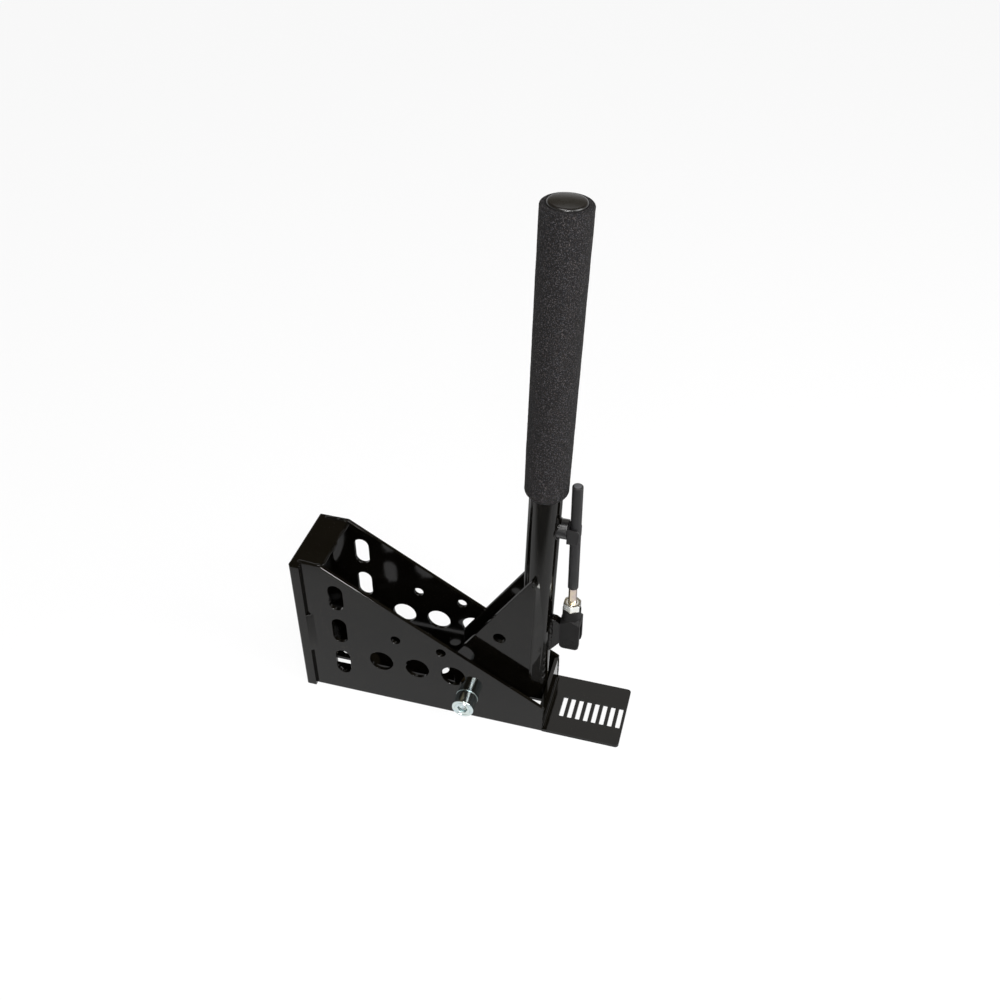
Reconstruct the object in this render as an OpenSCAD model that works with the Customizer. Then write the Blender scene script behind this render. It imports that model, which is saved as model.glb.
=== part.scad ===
// Vertical hydraulic parking brake lever: a welded sheet-steel base, a tubular lever
// on a cross bolt, and a folding lock strut on the back of the lever.
// Millimetres. +X runs from the tall end to the foot, +Y to the far side, +Z up.
// The origin is the middle of the footprint, on the floor.

/* [Base] */
// Length from the tall end to the tip of the foot
base_len = 280; // [265:1:320]
// Length of the box, from the tall end to the low end wall
box_len = 214; // [205:1:235]
// Width over the two side plates
box_w = 63; // [58:1:80]
// Thickness of the base's sheet steel
sheet_t = 3; // [2:0.5:4]
// Height of the box at the tall end
tall_h = 143; // [135:1:170]
// Height of the box at the low end
low_h = 29; // [24:1:36]
// Length of the closed top at the tall end
cap_len = 27; // [20:1:34]
// Length of the end channel's flanges along the side plates
flange_len = 9; // [7:0.5:14]
// Radius of the folds
bend_r = 2; // [1:0.5:4]
// Radius of the side plates' upper corners
plate_r = 1.5; // [0.5:0.1:4]

/* [Floor flanges] */
// Radius of the side plates' lower edges
hem_r = 1; // [0.5:0.1:3]
// Gap between the side plates' flanges along the floor
floor_gap = 6; // [4:0.5:12]
// Distance of the gap and of the floor bolts from the middle of the base
floor_shift = 2.7; // [0:0.1:5]
// Diameter of the floor bolts' holes
floor_hole_d = 10.5; // [8.5:0.1:12.5]
// Distance across the base between the floor bolts
floor_hole_w = 27; // [24:0.5:30]
// First floor bolt, from the tall end
floor_hole_x = 22; // [18:0.5:30]
// Distance along the base between the floor bolts
floor_hole_pitch = 91; // [80:0.5:110]

/* [Side plate cut-outs] */
// Diameter of the round lightening holes
hole_d = 21; // [14:0.5:24]
// Distance between the lightening holes
hole_pitch = 32; // [27:0.5:34]
// First lightening hole, from the tall end
hole_x = 72.5; // [68:0.5:76]
// Height of the lightening holes
hole_z = 46; // [42:0.5:50]
// Diameter of the two small holes
small_d = 8.5; // [5:0.5:10]
// First small hole, from the tall end
small_x = 87; // [82:0.5:90]
// Distance along the base between the small holes
small_pitch = 39.4; // [30:0.2:42]
// Height of the first small hole
small_z = 75.6; // [70:0.2:80]
// Drop from the first small hole to the second
small_drop = 4; // [0:0.2:8]
// Width of the upright slots
vent_w = 13; // [8:0.5:16]
// Height of the upright slots
vent_h = 27; // [18:0.5:30]
// Distance between the upright slots
vent_pitch = 38; // [33:0.5:39]
// Upright slots, from the tall end
vent_x = 37; // [32:0.5:42]
// Height of the lowest upright slot
vent_z = 35; // [32:0.5:40]

/* [Foot] */
// Number of slots across the foot
slot_count = 8; // [4:1:8]
// Width of a slot
slot_w = 3.8; // [3:0.1:4.5]
// Length of a slot
slot_l = 23; // [14:0.2:26]
// Distance between the slots
slot_pitch = 7; // [6:0.1:7.2]
// First slot, from the low end wall
slot_x = 12.6; // [9:0.1:13]
// Radius of the slots' corners
slot_r = 0.6; // [0.2:0.1:1.4]
// Distance of the slots from the middle of the base
slot_shift = 1.75; // [0:0.25:6]
// Least rim between the slots and the tip of the foot
slot_rim = 2; // [1:0.5:4]
// Radius of the foot's corners
foot_r = 3; // [2:0.5:9]

/* [Cylinder mounting] */
// Height of the brake cylinder's axis
cyl_z = 87; // [80:0.5:94]
// Bore for the cylinder's nose
cyl_bore_d = 32; // [26:0.5:38]
// Distance between the cylinder's bolts
cyl_pitch = 57.15; // [50:0.05:64]
// Diameter of the cylinder's bolt holes
cyl_bolt_d = 8.5; // [6.5:0.1:10.5]

/* [Pivot] */
// Pivot bolt, from the tall end
pivot_x = 148.5; // [142:0.5:154]
// Height of the pivot bolt
pivot_z = 24.5; // [23:0.5:28]
// Diameter of the pivot bolt's shank
bolt_d = 10; // [8:0.5:12]
// Diameter of the bolt's flat head
head_d = 20; // [15:0.5:22]
// Height of the bolt's head
head_h = 5.5; // [4:0.1:7]
// Radius of the head's outer edge
head_edge_r = 1.2; // [0.3:0.1:2]
// Depth of the hexagon socket
socket_depth = 3.2; // [2:0.1:4]
// Chamfer at the bolt's end
bolt_point = 1; // [0.5:0.1:1.5]
// Width across flats of the hexagon socket
socket_af = 8; // [4:0.5:9]
// Distance of the head from the side plate
head_standoff = 9; // [4:0.5:12]
// Width across flats of the lock nut
nut_af = 17; // [16:0.5:20]
// Height of the lock nut
nut_h = 10; // [8:0.5:12]
// Height of the lock nut's round collar
nut_collar_h = 3; // [2:0.1:4]
// Diameter of the lock nut's round collar
nut_collar_d = 15.2; // [14:0.2:15.8]
// Diameter of the washer
washer_d = 20; // [18:0.5:26]
// Thickness of the washer
washer_t = 2; // [1:0.1:3]
// Outer diameter of the pivot's spacers
spacer_d = 16; // [14:0.5:20]
// Outer diameter of the lever's pivot boss
boss_d = 20; // [18.5:0.5:24]
// Outer diameter of the bushes
bush_d = 14; // [13:0.5:16]
// Length of a bush in the boss
bush_l = 12; // [8:0.5:14]
// Diameter of a bush's flange
bush_flange_d = 19; // [17:0.5:23]
// Thickness of a bush's flange
bush_flange_t = 1.5; // [1:0.1:2.5]

/* [Lever] */
// Outer diameter of the lever's tube
tube_d = 25.4; // [22:0.1:28]
// Wall of the lever's tube
tube_wall = 2; // [1.5:0.1:3]
// Lean of the lever towards the foot
lean = 1.65; // [0:0.05:3]
// Lower end of the tube, along its axis
tube_low = 20; // [19:0.5:24]
// Upper end of the tube, along its axis
tube_top = 457; // [420:1:500]
// Thickness of a gusset plate
gusset_t = 4; // [3:0.5:6]
// Height of the gussets' upper corner before it is rounded
gusset_top = 162; // [150:1:175]
// Height at which the gussets' slanting edge ends
gusset_low = 55.6; // [48:0.2:62]
// Radius of the gussets round the pivot
gusset_r = 16; // [14:0.5:18]
// Radius of the gussets' upper corner
gusset_tip_r = 2.2; // [1:0.1:4]
// Push rod pin, from the pivot towards the foot
pin_dx = 24; // [18:0.5:30]
// Push rod pin, above the pivot
pin_dz = 62.5; // [54:0.5:70]
// Diameter of the push rod's pin hole
pin_hole_d = 10.4; // [8.2:0.1:12]

/* [Grip] */
// Outer diameter of the foam grip at its lower end
grip_d = 33.6; // [31:0.1:40]
// Outer diameter of the grip at its upper end
grip_top_d = 35; // [32:0.1:40]
// Lower end of the grip, along the tube
grip_low = 232.5; // [216:0.5:240]
// Length of the tapered lower end
grip_taper = 4.5; // [3:0.5:12]
// Radius of the shoulder over the tapered end
grip_shoulder_r = 3; // [1:0.1:4]
// Radius of the grip's upper rim
grip_rim_r = 1.4; // [0.5:0.1:2]
// Height of the grip over the tube's end
grip_over = 3; // [1:0.1:4]
// Overhang of the end plug's head over the tube
plug_lip = 0.5; // [0.2:0.1:1]
// Height of the plug's head
plug_h = 5.6; // [4.5:0.1:7]
// Rise of the dome on the plug's head
plug_rise = 1; // [0.5:0.1:2]
// Radius of the edge of the plug's head
plug_edge_r = 1.8; // [0.5:0.1:2.2]
// Length of the plug's spigot in the tube
plug_depth = 16; // [8:0.5:30]

/* [Lock strut] */
// Height of the strut's clevis pin
strut_z = 88; // [80:0.5:96]
// Distance of the clevis pin from the tube's axis
strut_off = 28.9; // [28:0.1:31]
// Lean of the strut towards the tube
strut_lean = 0.5; // [0:0.05:0.9]
// Length of the strut above its pin
strut_len = 157; // [140:1:175]
// Outer diameter of the strut's sleeve
sleeve_d = 8.4; // [7.6:0.1:9]
// Diameter of the threaded rod
rod_d = 6.8; // [5:0.1:7]
// Length of bare thread above the lock nut
bare_l = 16; // [6:0.5:24]
// Width across flats of the strut's lock nut
lock_nut_af = 13; // [12:0.5:16]
// Height of the strut's lock nut
lock_nut_h = 7; // [5:0.5:9]
// Width of the square fork
fork_w = 16; // [15:0.5:18]
// Height of the fork above its pin
fork_up = 33; // [30:0.5:36]
// Diameter of the fork's round neck
fork_neck_d = 15; // [13:0.5:16]
// Length of the fork's round neck
fork_neck_h = 9; // [6:0.5:11]
// Length of the fork below its pin
fork_low = 6.6; // [6.2:0.1:9]
// Radius of the fork's lower corners
fork_r = 3.6; // [3:0.1:7]
// Width of the fork's slot
fork_slot = 8; // [6:0.5:9]
// Depth of the fork's slot above its pin
fork_depth = 16; // [14:0.5:19]
// Diameter of the clevis pin
clevis_pin_d = 8; // [6:0.5:9]
// Radius of the lug round the clevis pin
lug_r = 6.2; // [5.8:0.1:7]
// Rise of the lug at the tube, over the clevis pin
lug_rise = 18.5; // [15:0.5:24]
// Reach of the lug's upper corner from the tube's axis
lug_top = 16; // [14.5:0.1:18]
// Drop of the lug at the tube, under the clevis pin
lug_drop = 17; // [12:0.5:20]
// Height of the strut's clip
clip_z = 202; // [190:0.5:212]
// Diameter of the boss that carries the clip
clip_boss_d = 15.8; // [12:0.2:18]
// Thickness of the clip's sheet
clip_t = 1.2; // [0.8:0.1:1.6]
// Height of the clip's jaws
clip_h = 14; // [12:0.5:16]
// Drop of the jaws' middle under the boss
clip_drop = 3; // [0:0.1:3.2]
// Radius of the jaws' corners
clip_r = 3; // [1:0.1:3.5]
// Reach of the jaws past the strut's axis
clip_reach = 3.6; // [3:0.1:8]
// Diameter of the clip's rivet
rivet_d = 4; // [3:0.1:5]
// Length of the rivet in its boss
rivet_l = 4; // [2:0.1:4.5]

/* [Clearances] */
// Gap between the tube and the low end wall, where the lever stops
stop_gap = 0.35; // [0.3:0.05:1]
// Radial clearance of the bolt in plates, washers and spacers
bolt_gap = 0.1; // [0.05:0.05:0.3]
// Radial running clearance of bushes and clevis
run_gap = 0.05; // [0.02:0.01:0.1]
// Radial clearance of pieces that are pressed or screwed together
seat_gap = 0.02; // [0.01:0.01:0.05]
// Gap that a weld bridges
weld_gap = 0.2; // [0.1:0.05:0.5]
// Side play between the lever and its spacers
side_gap = 0.3; // [0.2:0.05:0.6]
// Gap between the strut and its clip
clip_gap = 0.4; // [0.3:0.05:0.8]
// Side play of the lug in the fork
lug_gap = 0.4; // [0.3:0.05:0.8]

/* [Hidden] */
$fn = 64;
cut = 1;
coat_black = "#2f2d2b";
satin_black = "#232323";
foam_black = "#2b2b2c";
zinc = "#c9ccd0";
bronze = "#a5814b";
inner_w = box_w - 2 * sheet_t;
half_turn = 180;
slots = min(slot_count, floor((base_len - box_len - slot_x - slot_w / 2 - slot_rim) / slot_pitch) + 1);

// Lever axis: distance from the tall end at a height
axis_low = box_len - sheet_t - stop_gap - tube_d / 2 / cos(lean);
function axis_x(z) = axis_low + (z - low_h) * tan(lean);
gusset_y = tube_d / 2 + weld_gap;
lever_half = gusset_y + gusset_t;
spacer_y = lever_half + bush_flange_t + side_gap;
bolt_end = box_w / 2 + head_standoff + head_h;

// Strut: its pin and its axis at a height, from the tall end
strut_x = axis_x(strut_z) + strut_off;
function strut_axis_x(z) = strut_x - (z - strut_z) * tan(strut_lean);
clip_back = strut_axis_x(clip_z) - sleeve_d / 2 - clip_gap - clip_t;
lug_t = fork_slot - 2 * lug_gap;
sleeve_cap = sleeve_d - rod_d;
plug_r = tube_d / 2 + plug_lip;

// One rounded corner of an outline, as points on its arc
function unit(v) = v / norm(v);
function corner_arc(before, at, after, r, steps = 8) =
    r == 0 ? [at] :
    let (
        u = unit(before - at),
        w = unit(after - at),
        half = acos(u * w) / 2,
        middle = at + unit(u + w) * r / sin(half),
        from = at + u * r / tan(half) - middle,
        to = at + w * r / tan(half) - middle,
        start = atan2(from.y, from.x),
        turn = (atan2(to.y, to.x) - start + 3 * half_turn) % (2 * half_turn) - half_turn
    )
    [for (i = [0 : steps]) middle + r * [cos(start + turn * i / steps), sin(start + turn * i / steps)]];
function rounded(points, radii) =
    let (n = len(points))
    [for (i = [0 : n - 1])
        each corner_arc(points[(i + n - 1) % n], points[i], points[(i + 1) % n], radii[i])];

// Places children measured from the tall end
module from_tall_end() {
    translate([-base_len / 2, 0, 0]) children();
}

// Stands a flat outline upright in XZ, from y over a thickness t
module upright(y, t) {
    translate([0, y + t, 0]) rotate([90, 0, 0]) linear_extrude(t) children();
}

// Runs a flat outline in YZ along X, over a length l
module lengthwise(l) {
    rotate([90, 0, 90]) linear_extrude(l) children();
}

// A round bar along Y between two places
module cross_bar(d, y_from, y_to) {
    translate([0, y_from, 0]) rotate([-90, 0, 0]) cylinder(d = d, h = y_to - y_from);
}

// Turns children into the lever's own axis, with Z along the tube
module on_lever() {
    from_tall_end() translate([axis_x(0), 0, 0]) rotate([0, lean, 0]) children();
}

// Turns children into the strut's own axis, with Z along the rod from its pin
module on_strut() {
    from_tall_end() translate([strut_x, 0, strut_z]) rotate([0, -strut_lean, 0]) children();
}

module on_pivot() {
    from_tall_end() translate([pivot_x, 0, pivot_z]) children();
}

// A flat slot with round ends, its length along Y
module slot_outline(w, l) {
    square([w, l - w], center = true);
    for (end = [-1, 1]) translate([0, end * (l - w) / 2]) circle(d = w);
}

// A slot of the foot, its length along Y, with small rounded corners
module foot_slot() {
    square([slot_w, slot_l - 2 * slot_r], center = true);
    square([slot_w - 2 * slot_r, slot_l], center = true);
    for (x = [-1, 1], y = [-1, 1])
        translate([x * (slot_w / 2 - slot_r), y * (slot_l / 2 - slot_r)]) circle(r = slot_r);
}

module side_plate_outline() {
    difference() {
        polygon(rounded([
            [sheet_t, 0], [box_len, 0], [box_len, low_h],
            [cap_len, tall_h], [sheet_t, tall_h]
        ], [0, 0, plate_r, plate_r, 0]));
        for (i = [0 : 2]) translate([hole_x + i * hole_pitch, hole_z]) circle(d = hole_d);
        for (i = [0, 1])
            translate([small_x + i * small_pitch, small_z - i * small_drop]) circle(d = small_d);
        for (i = [0 : 2]) translate([vent_x, vent_z + i * vent_pitch]) slot_outline(vent_w, vent_h);
        translate([pivot_x, pivot_z]) circle(d = bolt_d + 2 * bolt_gap);
    }
}

// Plate on the near side with its bolted flange folded in along the floor;
// shift moves the flange's free edge and its bolts off the middle
module side_plate(shift) {
    color(coat_black) from_tall_end() difference() {
        union() {
            upright(-box_w / 2, sheet_t) side_plate_outline();
            linear_extrude(sheet_t) difference() {
                translate([sheet_t, -box_w / 2])
                    square([box_len - 2 * sheet_t, box_w / 2 - shift - floor_gap / 2]);
                for (i = [0, 1])
                    translate([floor_hole_x + i * floor_hole_pitch, -shift - floor_hole_w / 2])
                        circle(d = floor_hole_d);
            }
        }
        lengthwise(base_len) difference() {
            translate([-box_w / 2 - cut, -cut]) square(cut + hem_r);
            translate([-box_w / 2 + hem_r, hem_r]) circle(r = hem_r);
        }
    }
}

module side_plate_near() {
    side_plate(floor_shift);
}

module side_plate_far() {
    mirror([0, 1, 0]) side_plate(-floor_shift);
}

// Folded end of the box: end wall, flanges over the side plates with slanting upper ends,
// and the closed top between them
module end_channel() {
    over = box_w + 2 * sheet_t;
    color(coat_black) from_tall_end() difference() {
        union() {
            linear_extrude(tall_h) difference() {
                polygon(rounded([
                    [0, -over / 2], [flange_len, -over / 2], [flange_len, over / 2], [0, over / 2]
                ], [bend_r, 0, 0, bend_r]));
                translate([sheet_t, -box_w / 2]) square([flange_len, box_w]);
            }
            translate([0, -inner_w / 2, tall_h - sheet_t]) cube([cap_len, inner_w, sheet_t]);
        }
        upright(-over, 2 * over) difference() {
            translate([-cut, tall_h - bend_r]) square([cut + bend_r, cut + bend_r]);
            translate([bend_r, tall_h - bend_r]) circle(r = bend_r);
        }
        for (side = [0, 1]) mirror([0, side, 0]) translate([-cut, 0, 0]) lengthwise(flange_len + 2 * cut)
            polygon([
                [box_w / 2, tall_h], [over / 2, tall_h - sheet_t],
                [over, tall_h - sheet_t], [over, tall_h + cut], [box_w / 2, tall_h + cut]
            ]);
        translate([-cut, 0, cyl_z]) rotate([0, 90, 0]) cylinder(d = cyl_bore_d, h = sheet_t + 2 * cut);
        for (end = [-1, 1])
            translate([-cut, 0, cyl_z + end * cyl_pitch / 2]) rotate([0, 90, 0])
                cylinder(d = cyl_bolt_d, h = sheet_t + 2 * cut);
    }
}

// Folded low end: end wall between the side plates, and the slotted foot
module foot_bracket() {
    color(coat_black) from_tall_end() union() {
        upright(-inner_w / 2, inner_w) union() {
            difference() {
                translate([box_len - sheet_t, 0]) square([sheet_t, low_h]);
                difference() {
                    translate([box_len - sheet_t, 0]) square(bend_r);
                    translate([box_len - sheet_t + bend_r, bend_r]) circle(r = bend_r);
                }
            }
            difference() {
                translate([box_len, 0]) square([bend_r, sheet_t + bend_r]);
                translate([box_len + bend_r, sheet_t + bend_r]) circle(r = bend_r);
            }
        }
        linear_extrude(sheet_t) difference() {
            polygon(rounded([
                [box_len, -box_w / 2], [base_len, -box_w / 2], [base_len, box_w / 2], [box_len, box_w / 2]
            ], [0, foot_r, foot_r, 0]));
            for (i = [0 : slots - 1])
                translate([box_len + slot_x + i * slot_pitch, -slot_shift]) foot_slot();
        }
    }
}

// Flat-headed bolt across the base; its head stands off the near plate
module pivot_bolt() {
    color(zinc) on_pivot() translate([0, -bolt_end, 0]) rotate([-90, 0, 0]) difference() {
        union() {
            rotate_extrude() polygon(rounded([
                [0, 0], [head_d / 2, 0], [head_d / 2, head_h], [0, head_h]
            ], [0, head_edge_r, 0, 0]));
            translate([0, 0, head_h]) cylinder(d = bolt_d, h = 2 * bolt_end - head_h - bolt_point);
            translate([0, 0, 2 * bolt_end - bolt_point])
                cylinder(d1 = bolt_d, d2 = bolt_d - 2 * bolt_point, h = bolt_point);
        }
        translate([0, 0, -cut]) rotate(30)
            cylinder(d = socket_af / cos(30), h = cut + socket_depth, $fn = 6);
    }
}

module pivot_nut() {
    seat = box_w / 2 + washer_t;
    color(zinc) on_pivot() difference() {
        union() {
            translate([0, seat, 0]) rotate([-90, 0, 0])
                cylinder(d = nut_af / cos(30), h = nut_h - nut_collar_h, $fn = 6);
            cross_bar(nut_collar_d, seat, seat + nut_h);
        }
        cross_bar(bolt_d + 2 * seat_gap, seat - cut, seat + nut_h + cut);
    }
}

module pivot_washer() {
    color(zinc) on_pivot() difference() {
        cross_bar(washer_d, box_w / 2, box_w / 2 + washer_t);
        cross_bar(bolt_d + 2 * bolt_gap, box_w / 2 - cut, box_w / 2 + washer_t + cut);
    }
}

// Tubes that keep the lever in the middle of the box
module pivot_spacers() {
    color(zinc) on_pivot() for (side = [0, 1]) mirror([0, side, 0]) difference() {
        cross_bar(spacer_d, spacer_y, inner_w / 2);
        cross_bar(bolt_d + 2 * bolt_gap, spacer_y - cut, inner_w / 2 + cut);
    }
}

module lever_tube() {
    long = tube_top - tube_low;
    color(coat_black) on_lever() translate([0, 0, tube_low]) difference() {
        cylinder(d = tube_d, h = long);
        translate([0, 0, -cut]) cylinder(d = tube_d - 2 * tube_wall, h = long + 2 * cut);
    }
}

// Plate from the tube to the pivot, with the push rod's pin hole
module gusset(y) {
    color(coat_black) from_tall_end() upright(y, gusset_t) difference() {
        union() {
            polygon(rounded([
                [axis_x(gusset_top), gusset_top],
                [pivot_x - gusset_r, gusset_low],
                [pivot_x - gusset_r, pivot_z],
                [pivot_x, pivot_z - gusset_r],
                [axis_x(tube_low), tube_low]
            ], [gusset_tip_r, gusset_r / 2, 0, 0, 0]));
            translate([pivot_x, pivot_z]) circle(r = gusset_r);
        }
        translate([pivot_x, pivot_z]) circle(d = boss_d + 2 * seat_gap);
        translate([pivot_x + pin_dx, pivot_z + pin_dz]) circle(d = pin_hole_d);
    }
}

module gusset_near() {
    gusset(-lever_half);
}

module gusset_far() {
    gusset(gusset_y);
}

module pivot_boss() {
    color(coat_black) on_pivot() difference() {
        cross_bar(boss_d, -lever_half, lever_half);
        cross_bar(bush_d + 2 * seat_gap, -lever_half - cut, lever_half + cut);
    }
}

module pivot_bushes() {
    color(bronze) on_pivot() for (side = [0, 1]) mirror([0, side, 0]) difference() {
        union() {
            cross_bar(bush_d, lever_half - bush_l, lever_half);
            cross_bar(bush_flange_d, lever_half, lever_half + bush_flange_t);
        }
        cross_bar(bolt_d + 2 * run_gap, lever_half - bush_l - cut, lever_half + bush_flange_t + cut);
    }
}

module foam_grip() {
    bore_r = tube_d / 2 + seat_gap;
    grip_top = tube_top + grip_over;
    color(foam_black) on_lever() rotate_extrude() polygon(rounded([
        [bore_r, grip_low], [bore_r + seat_gap, grip_low],
        [grip_d / 2, grip_low + grip_taper], [grip_top_d / 2, grip_top],
        [plug_r + seat_gap, grip_top], [plug_r + seat_gap, tube_top], [bore_r, tube_top]
    ], [0, 0, grip_shoulder_r, grip_rim_r, 0, 0, 0]));
}

// Plug that closes the tube, with a low dome on its head
module grip_end_plug() {
    steps = 6;
    dome_r = (plug_r * plug_r + plug_rise * plug_rise) / (2 * plug_rise);
    turn = asin(plug_r / dome_r) / steps;
    dome = [for (i = [steps - 1 : -1 : 0]) dome_r * [sin(turn * i), cos(turn * i) - 1] + [0, plug_h]];
    edge = corner_arc([plug_r, 0], [plug_r, plug_h - plug_rise], dome[0], plug_edge_r);
    color(satin_black) on_lever() translate([0, 0, tube_top]) union() {
        rotate_extrude() polygon(concat([[0, 0], [plug_r, 0]], edge, dome));
        translate([0, 0, -plug_depth]) cylinder(d = tube_d - 2 * tube_wall - 2 * seat_gap, h = plug_depth);
    }
}

// Room for the tube and the weld round it
module tube_room() {
    on_lever() cylinder(d = tube_d + 2 * weld_gap, h = tube_top);
}

// Ear on the back of the tube that the fork is pinned to
module strut_lug() {
    axis = axis_x(strut_z);
    neck = strut_x - fork_w / 2 - lug_gap;
    color(coat_black) difference() {
        from_tall_end() upright(-lug_t / 2, lug_t) difference() {
            union() {
                polygon([
                    [axis, strut_z - lug_drop], [axis + tube_d / 2, strut_z - lug_drop],
                    [neck, strut_z - lug_r], [strut_x, strut_z - lug_r], [strut_x, strut_z + lug_r],
                    [neck, strut_z + fork_depth - lug_gap], [axis + lug_top, strut_z + lug_rise],
                    [axis, strut_z + lug_rise]
                ]);
                translate([strut_x, strut_z]) circle(r = lug_r);
            }
            translate([strut_x, strut_z]) circle(d = clevis_pin_d + 2 * seat_gap);
        }
        tube_room();
    }
}

// Stub on the tube that carries the strut's clip
module clip_boss() {
    from = axis_x(clip_z);
    color(coat_black) difference() {
        from_tall_end() translate([from, 0, clip_z]) rotate([0, 90, 0]) difference() {
            cylinder(d = clip_boss_d, h = clip_back - from);
            translate([0, 0, clip_back - from - rivet_l])
                cylinder(d = rivet_d + 2 * seat_gap, h = rivet_l + cut);
        }
        tube_room();
    }
}

// U-shaped clip, open away from the tube, that the strut folds into
module strut_clip() {
    gap = sleeve_d + 2 * clip_gap;
    reach = strut_axis_x(clip_z) + clip_reach - clip_back;
    color(satin_black) from_tall_end() translate([clip_back, 0, clip_z - clip_drop]) difference() {
        translate([0, -gap / 2 - clip_t, -clip_h / 2]) cube([reach, gap + 2 * clip_t, clip_h]);
        translate([clip_t, -gap / 2, -clip_h]) cube([reach, gap, 2 * clip_h]);
        translate([-cut, 0, clip_drop]) rotate([0, 90, 0])
            cylinder(d = rivet_d + 2 * seat_gap, h = clip_t + 2 * cut);
        for (end = [-1, 1]) jaw_corner(reach, end);
    }
}

// Rounds one corner of the clip's jaws
module jaw_corner(reach, end) {
    mirror([0, 0, end < 0 ? 1 : 0]) upright(-sleeve_d, 2 * sleeve_d)
        translate([reach - clip_r, clip_h / 2 - clip_r]) difference() {
            square(clip_r + cut);
            circle(r = clip_r);
        }
}

module clip_rivet() {
    color(zinc) from_tall_end() translate([clip_back - rivet_l, 0, clip_z]) rotate([0, 90, 0])
        cylinder(d = rivet_d, h = rivet_l + clip_t);
}

module clevis_pin() {
    color(satin_black) on_strut() cross_bar(clevis_pin_d, -fork_w / 2, fork_w / 2);
}

// Threaded rod from the fork to the top of the sleeve
module strut_rod() {
    low = fork_depth + lug_gap;
    color(zinc) on_strut() translate([0, 0, low]) cylinder(d = rod_d, h = strut_len - sleeve_cap - low);
}

module strut_sleeve() {
    low = fork_up + lock_nut_h + bare_l;
    bore_h = strut_len - low - sleeve_cap + seat_gap;
    color(satin_black) on_strut() difference() {
        translate([0, 0, low]) rotate_extrude() polygon(rounded([
            [0, 0], [sleeve_d / 2, 0], [sleeve_d / 2, strut_len - low], [0, strut_len - low]
        ], [0, 0, sleeve_cap, 0]));
        translate([0, 0, low - cut]) cylinder(d = rod_d + 2 * seat_gap, h = bore_h + cut);
    }
}

module strut_lock_nut() {
    color(zinc) on_strut() translate([0, 0, fork_up]) difference() {
        cylinder(d = lock_nut_af / cos(30), h = lock_nut_h, $fn = 6);
        translate([0, 0, -cut]) cylinder(d = rod_d + 2 * seat_gap, h = lock_nut_h + 2 * cut);
    }
}

// Square fork, turned round at its neck, with rounded lower corners
module clevis_fork() {
    color(satin_black) on_strut() difference() {
        intersection() {
            upright(-fork_w / 2, fork_w) polygon(rounded([
                [-fork_w / 2, -fork_low], [fork_w / 2, -fork_low],
                [fork_w / 2, fork_up], [-fork_w / 2, fork_up]
            ], [fork_r, fork_r, 0, 0]));
            rotate_extrude() polygon([
                [0, -fork_low - cut], [fork_w, -fork_low - cut],
                [fork_w, fork_up - fork_neck_h - fork_w + fork_neck_d / 2],
                [fork_neck_d / 2, fork_up - fork_neck_h], [fork_neck_d / 2, fork_up], [0, fork_up]
            ]);
        }
        translate([-fork_w, -fork_slot / 2, -fork_low - cut])
            cube([2 * fork_w, fork_slot, fork_low + cut + fork_depth]);
        cross_bar(clevis_pin_d + 2 * run_gap, -fork_w, fork_w);
        translate([0, 0, fork_depth - cut]) cylinder(d = rod_d + 2 * seat_gap, h = fork_up);
    }
}

side_plate_near();
side_plate_far();
end_channel();
foot_bracket();
pivot_bolt();
pivot_nut();
pivot_washer();
pivot_spacers();
lever_tube();
gusset_near();
gusset_far();
pivot_boss();
pivot_bushes();
foam_grip();
grip_end_plug();
strut_lug();
clip_boss();
strut_clip();
clip_rivet();
clevis_pin();
strut_rod();
strut_sleeve();
strut_lock_nut();
clevis_fork();
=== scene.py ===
"""Looks of an upright parking brake lever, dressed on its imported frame.

Every piece is made in metres in the frame's own axes: +X from the tall end to the foot, +Y away from
the bolt's head, +Z up. Sizes of the sub-assemblies are millimetres. The finishes and the studio count in
metres.
"""
import logging
import math
from dataclasses import dataclass, field
from enum import Enum
from typing import Callable, Iterable, Sequence

import bmesh
import bpy
from mathutils import Matrix, Vector, noise


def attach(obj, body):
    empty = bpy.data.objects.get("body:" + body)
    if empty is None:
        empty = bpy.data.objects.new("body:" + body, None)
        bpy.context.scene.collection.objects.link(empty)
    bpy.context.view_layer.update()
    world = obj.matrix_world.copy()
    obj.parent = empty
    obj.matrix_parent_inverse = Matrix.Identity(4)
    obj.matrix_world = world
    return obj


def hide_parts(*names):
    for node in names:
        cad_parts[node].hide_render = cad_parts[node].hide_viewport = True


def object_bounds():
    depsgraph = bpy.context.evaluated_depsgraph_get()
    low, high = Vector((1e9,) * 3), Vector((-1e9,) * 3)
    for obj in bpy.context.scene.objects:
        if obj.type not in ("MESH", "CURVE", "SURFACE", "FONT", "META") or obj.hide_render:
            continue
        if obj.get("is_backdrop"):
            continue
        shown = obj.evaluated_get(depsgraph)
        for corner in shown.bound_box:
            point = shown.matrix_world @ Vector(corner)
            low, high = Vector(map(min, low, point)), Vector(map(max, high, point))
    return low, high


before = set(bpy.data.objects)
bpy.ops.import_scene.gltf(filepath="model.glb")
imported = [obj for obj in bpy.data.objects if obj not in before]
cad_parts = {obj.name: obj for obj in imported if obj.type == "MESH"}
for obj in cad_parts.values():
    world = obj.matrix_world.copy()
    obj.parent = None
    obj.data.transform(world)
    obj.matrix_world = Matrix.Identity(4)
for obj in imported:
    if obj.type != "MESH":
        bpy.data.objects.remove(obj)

MM = 0.001
# Radius of a ring that closes a turned shape on its axis
CENTRE = 0.01
# Gap between a dressed piece and the seat that it fits
FIT = 0.02
# Distances in metres within which points are one: on a node's mesh or a thread, and on a turned shape
MERGE = 1e-6
MERGE_TURNED = 1e-7
# Fall of a nut's chamfered corners for each millimetre of radius
NUT_SLOPE = math.tan(math.radians(30))
WHITE = (1.0, 1.0, 1.0, 1.0)
log = logging.getLogger("brake_lever")


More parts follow.
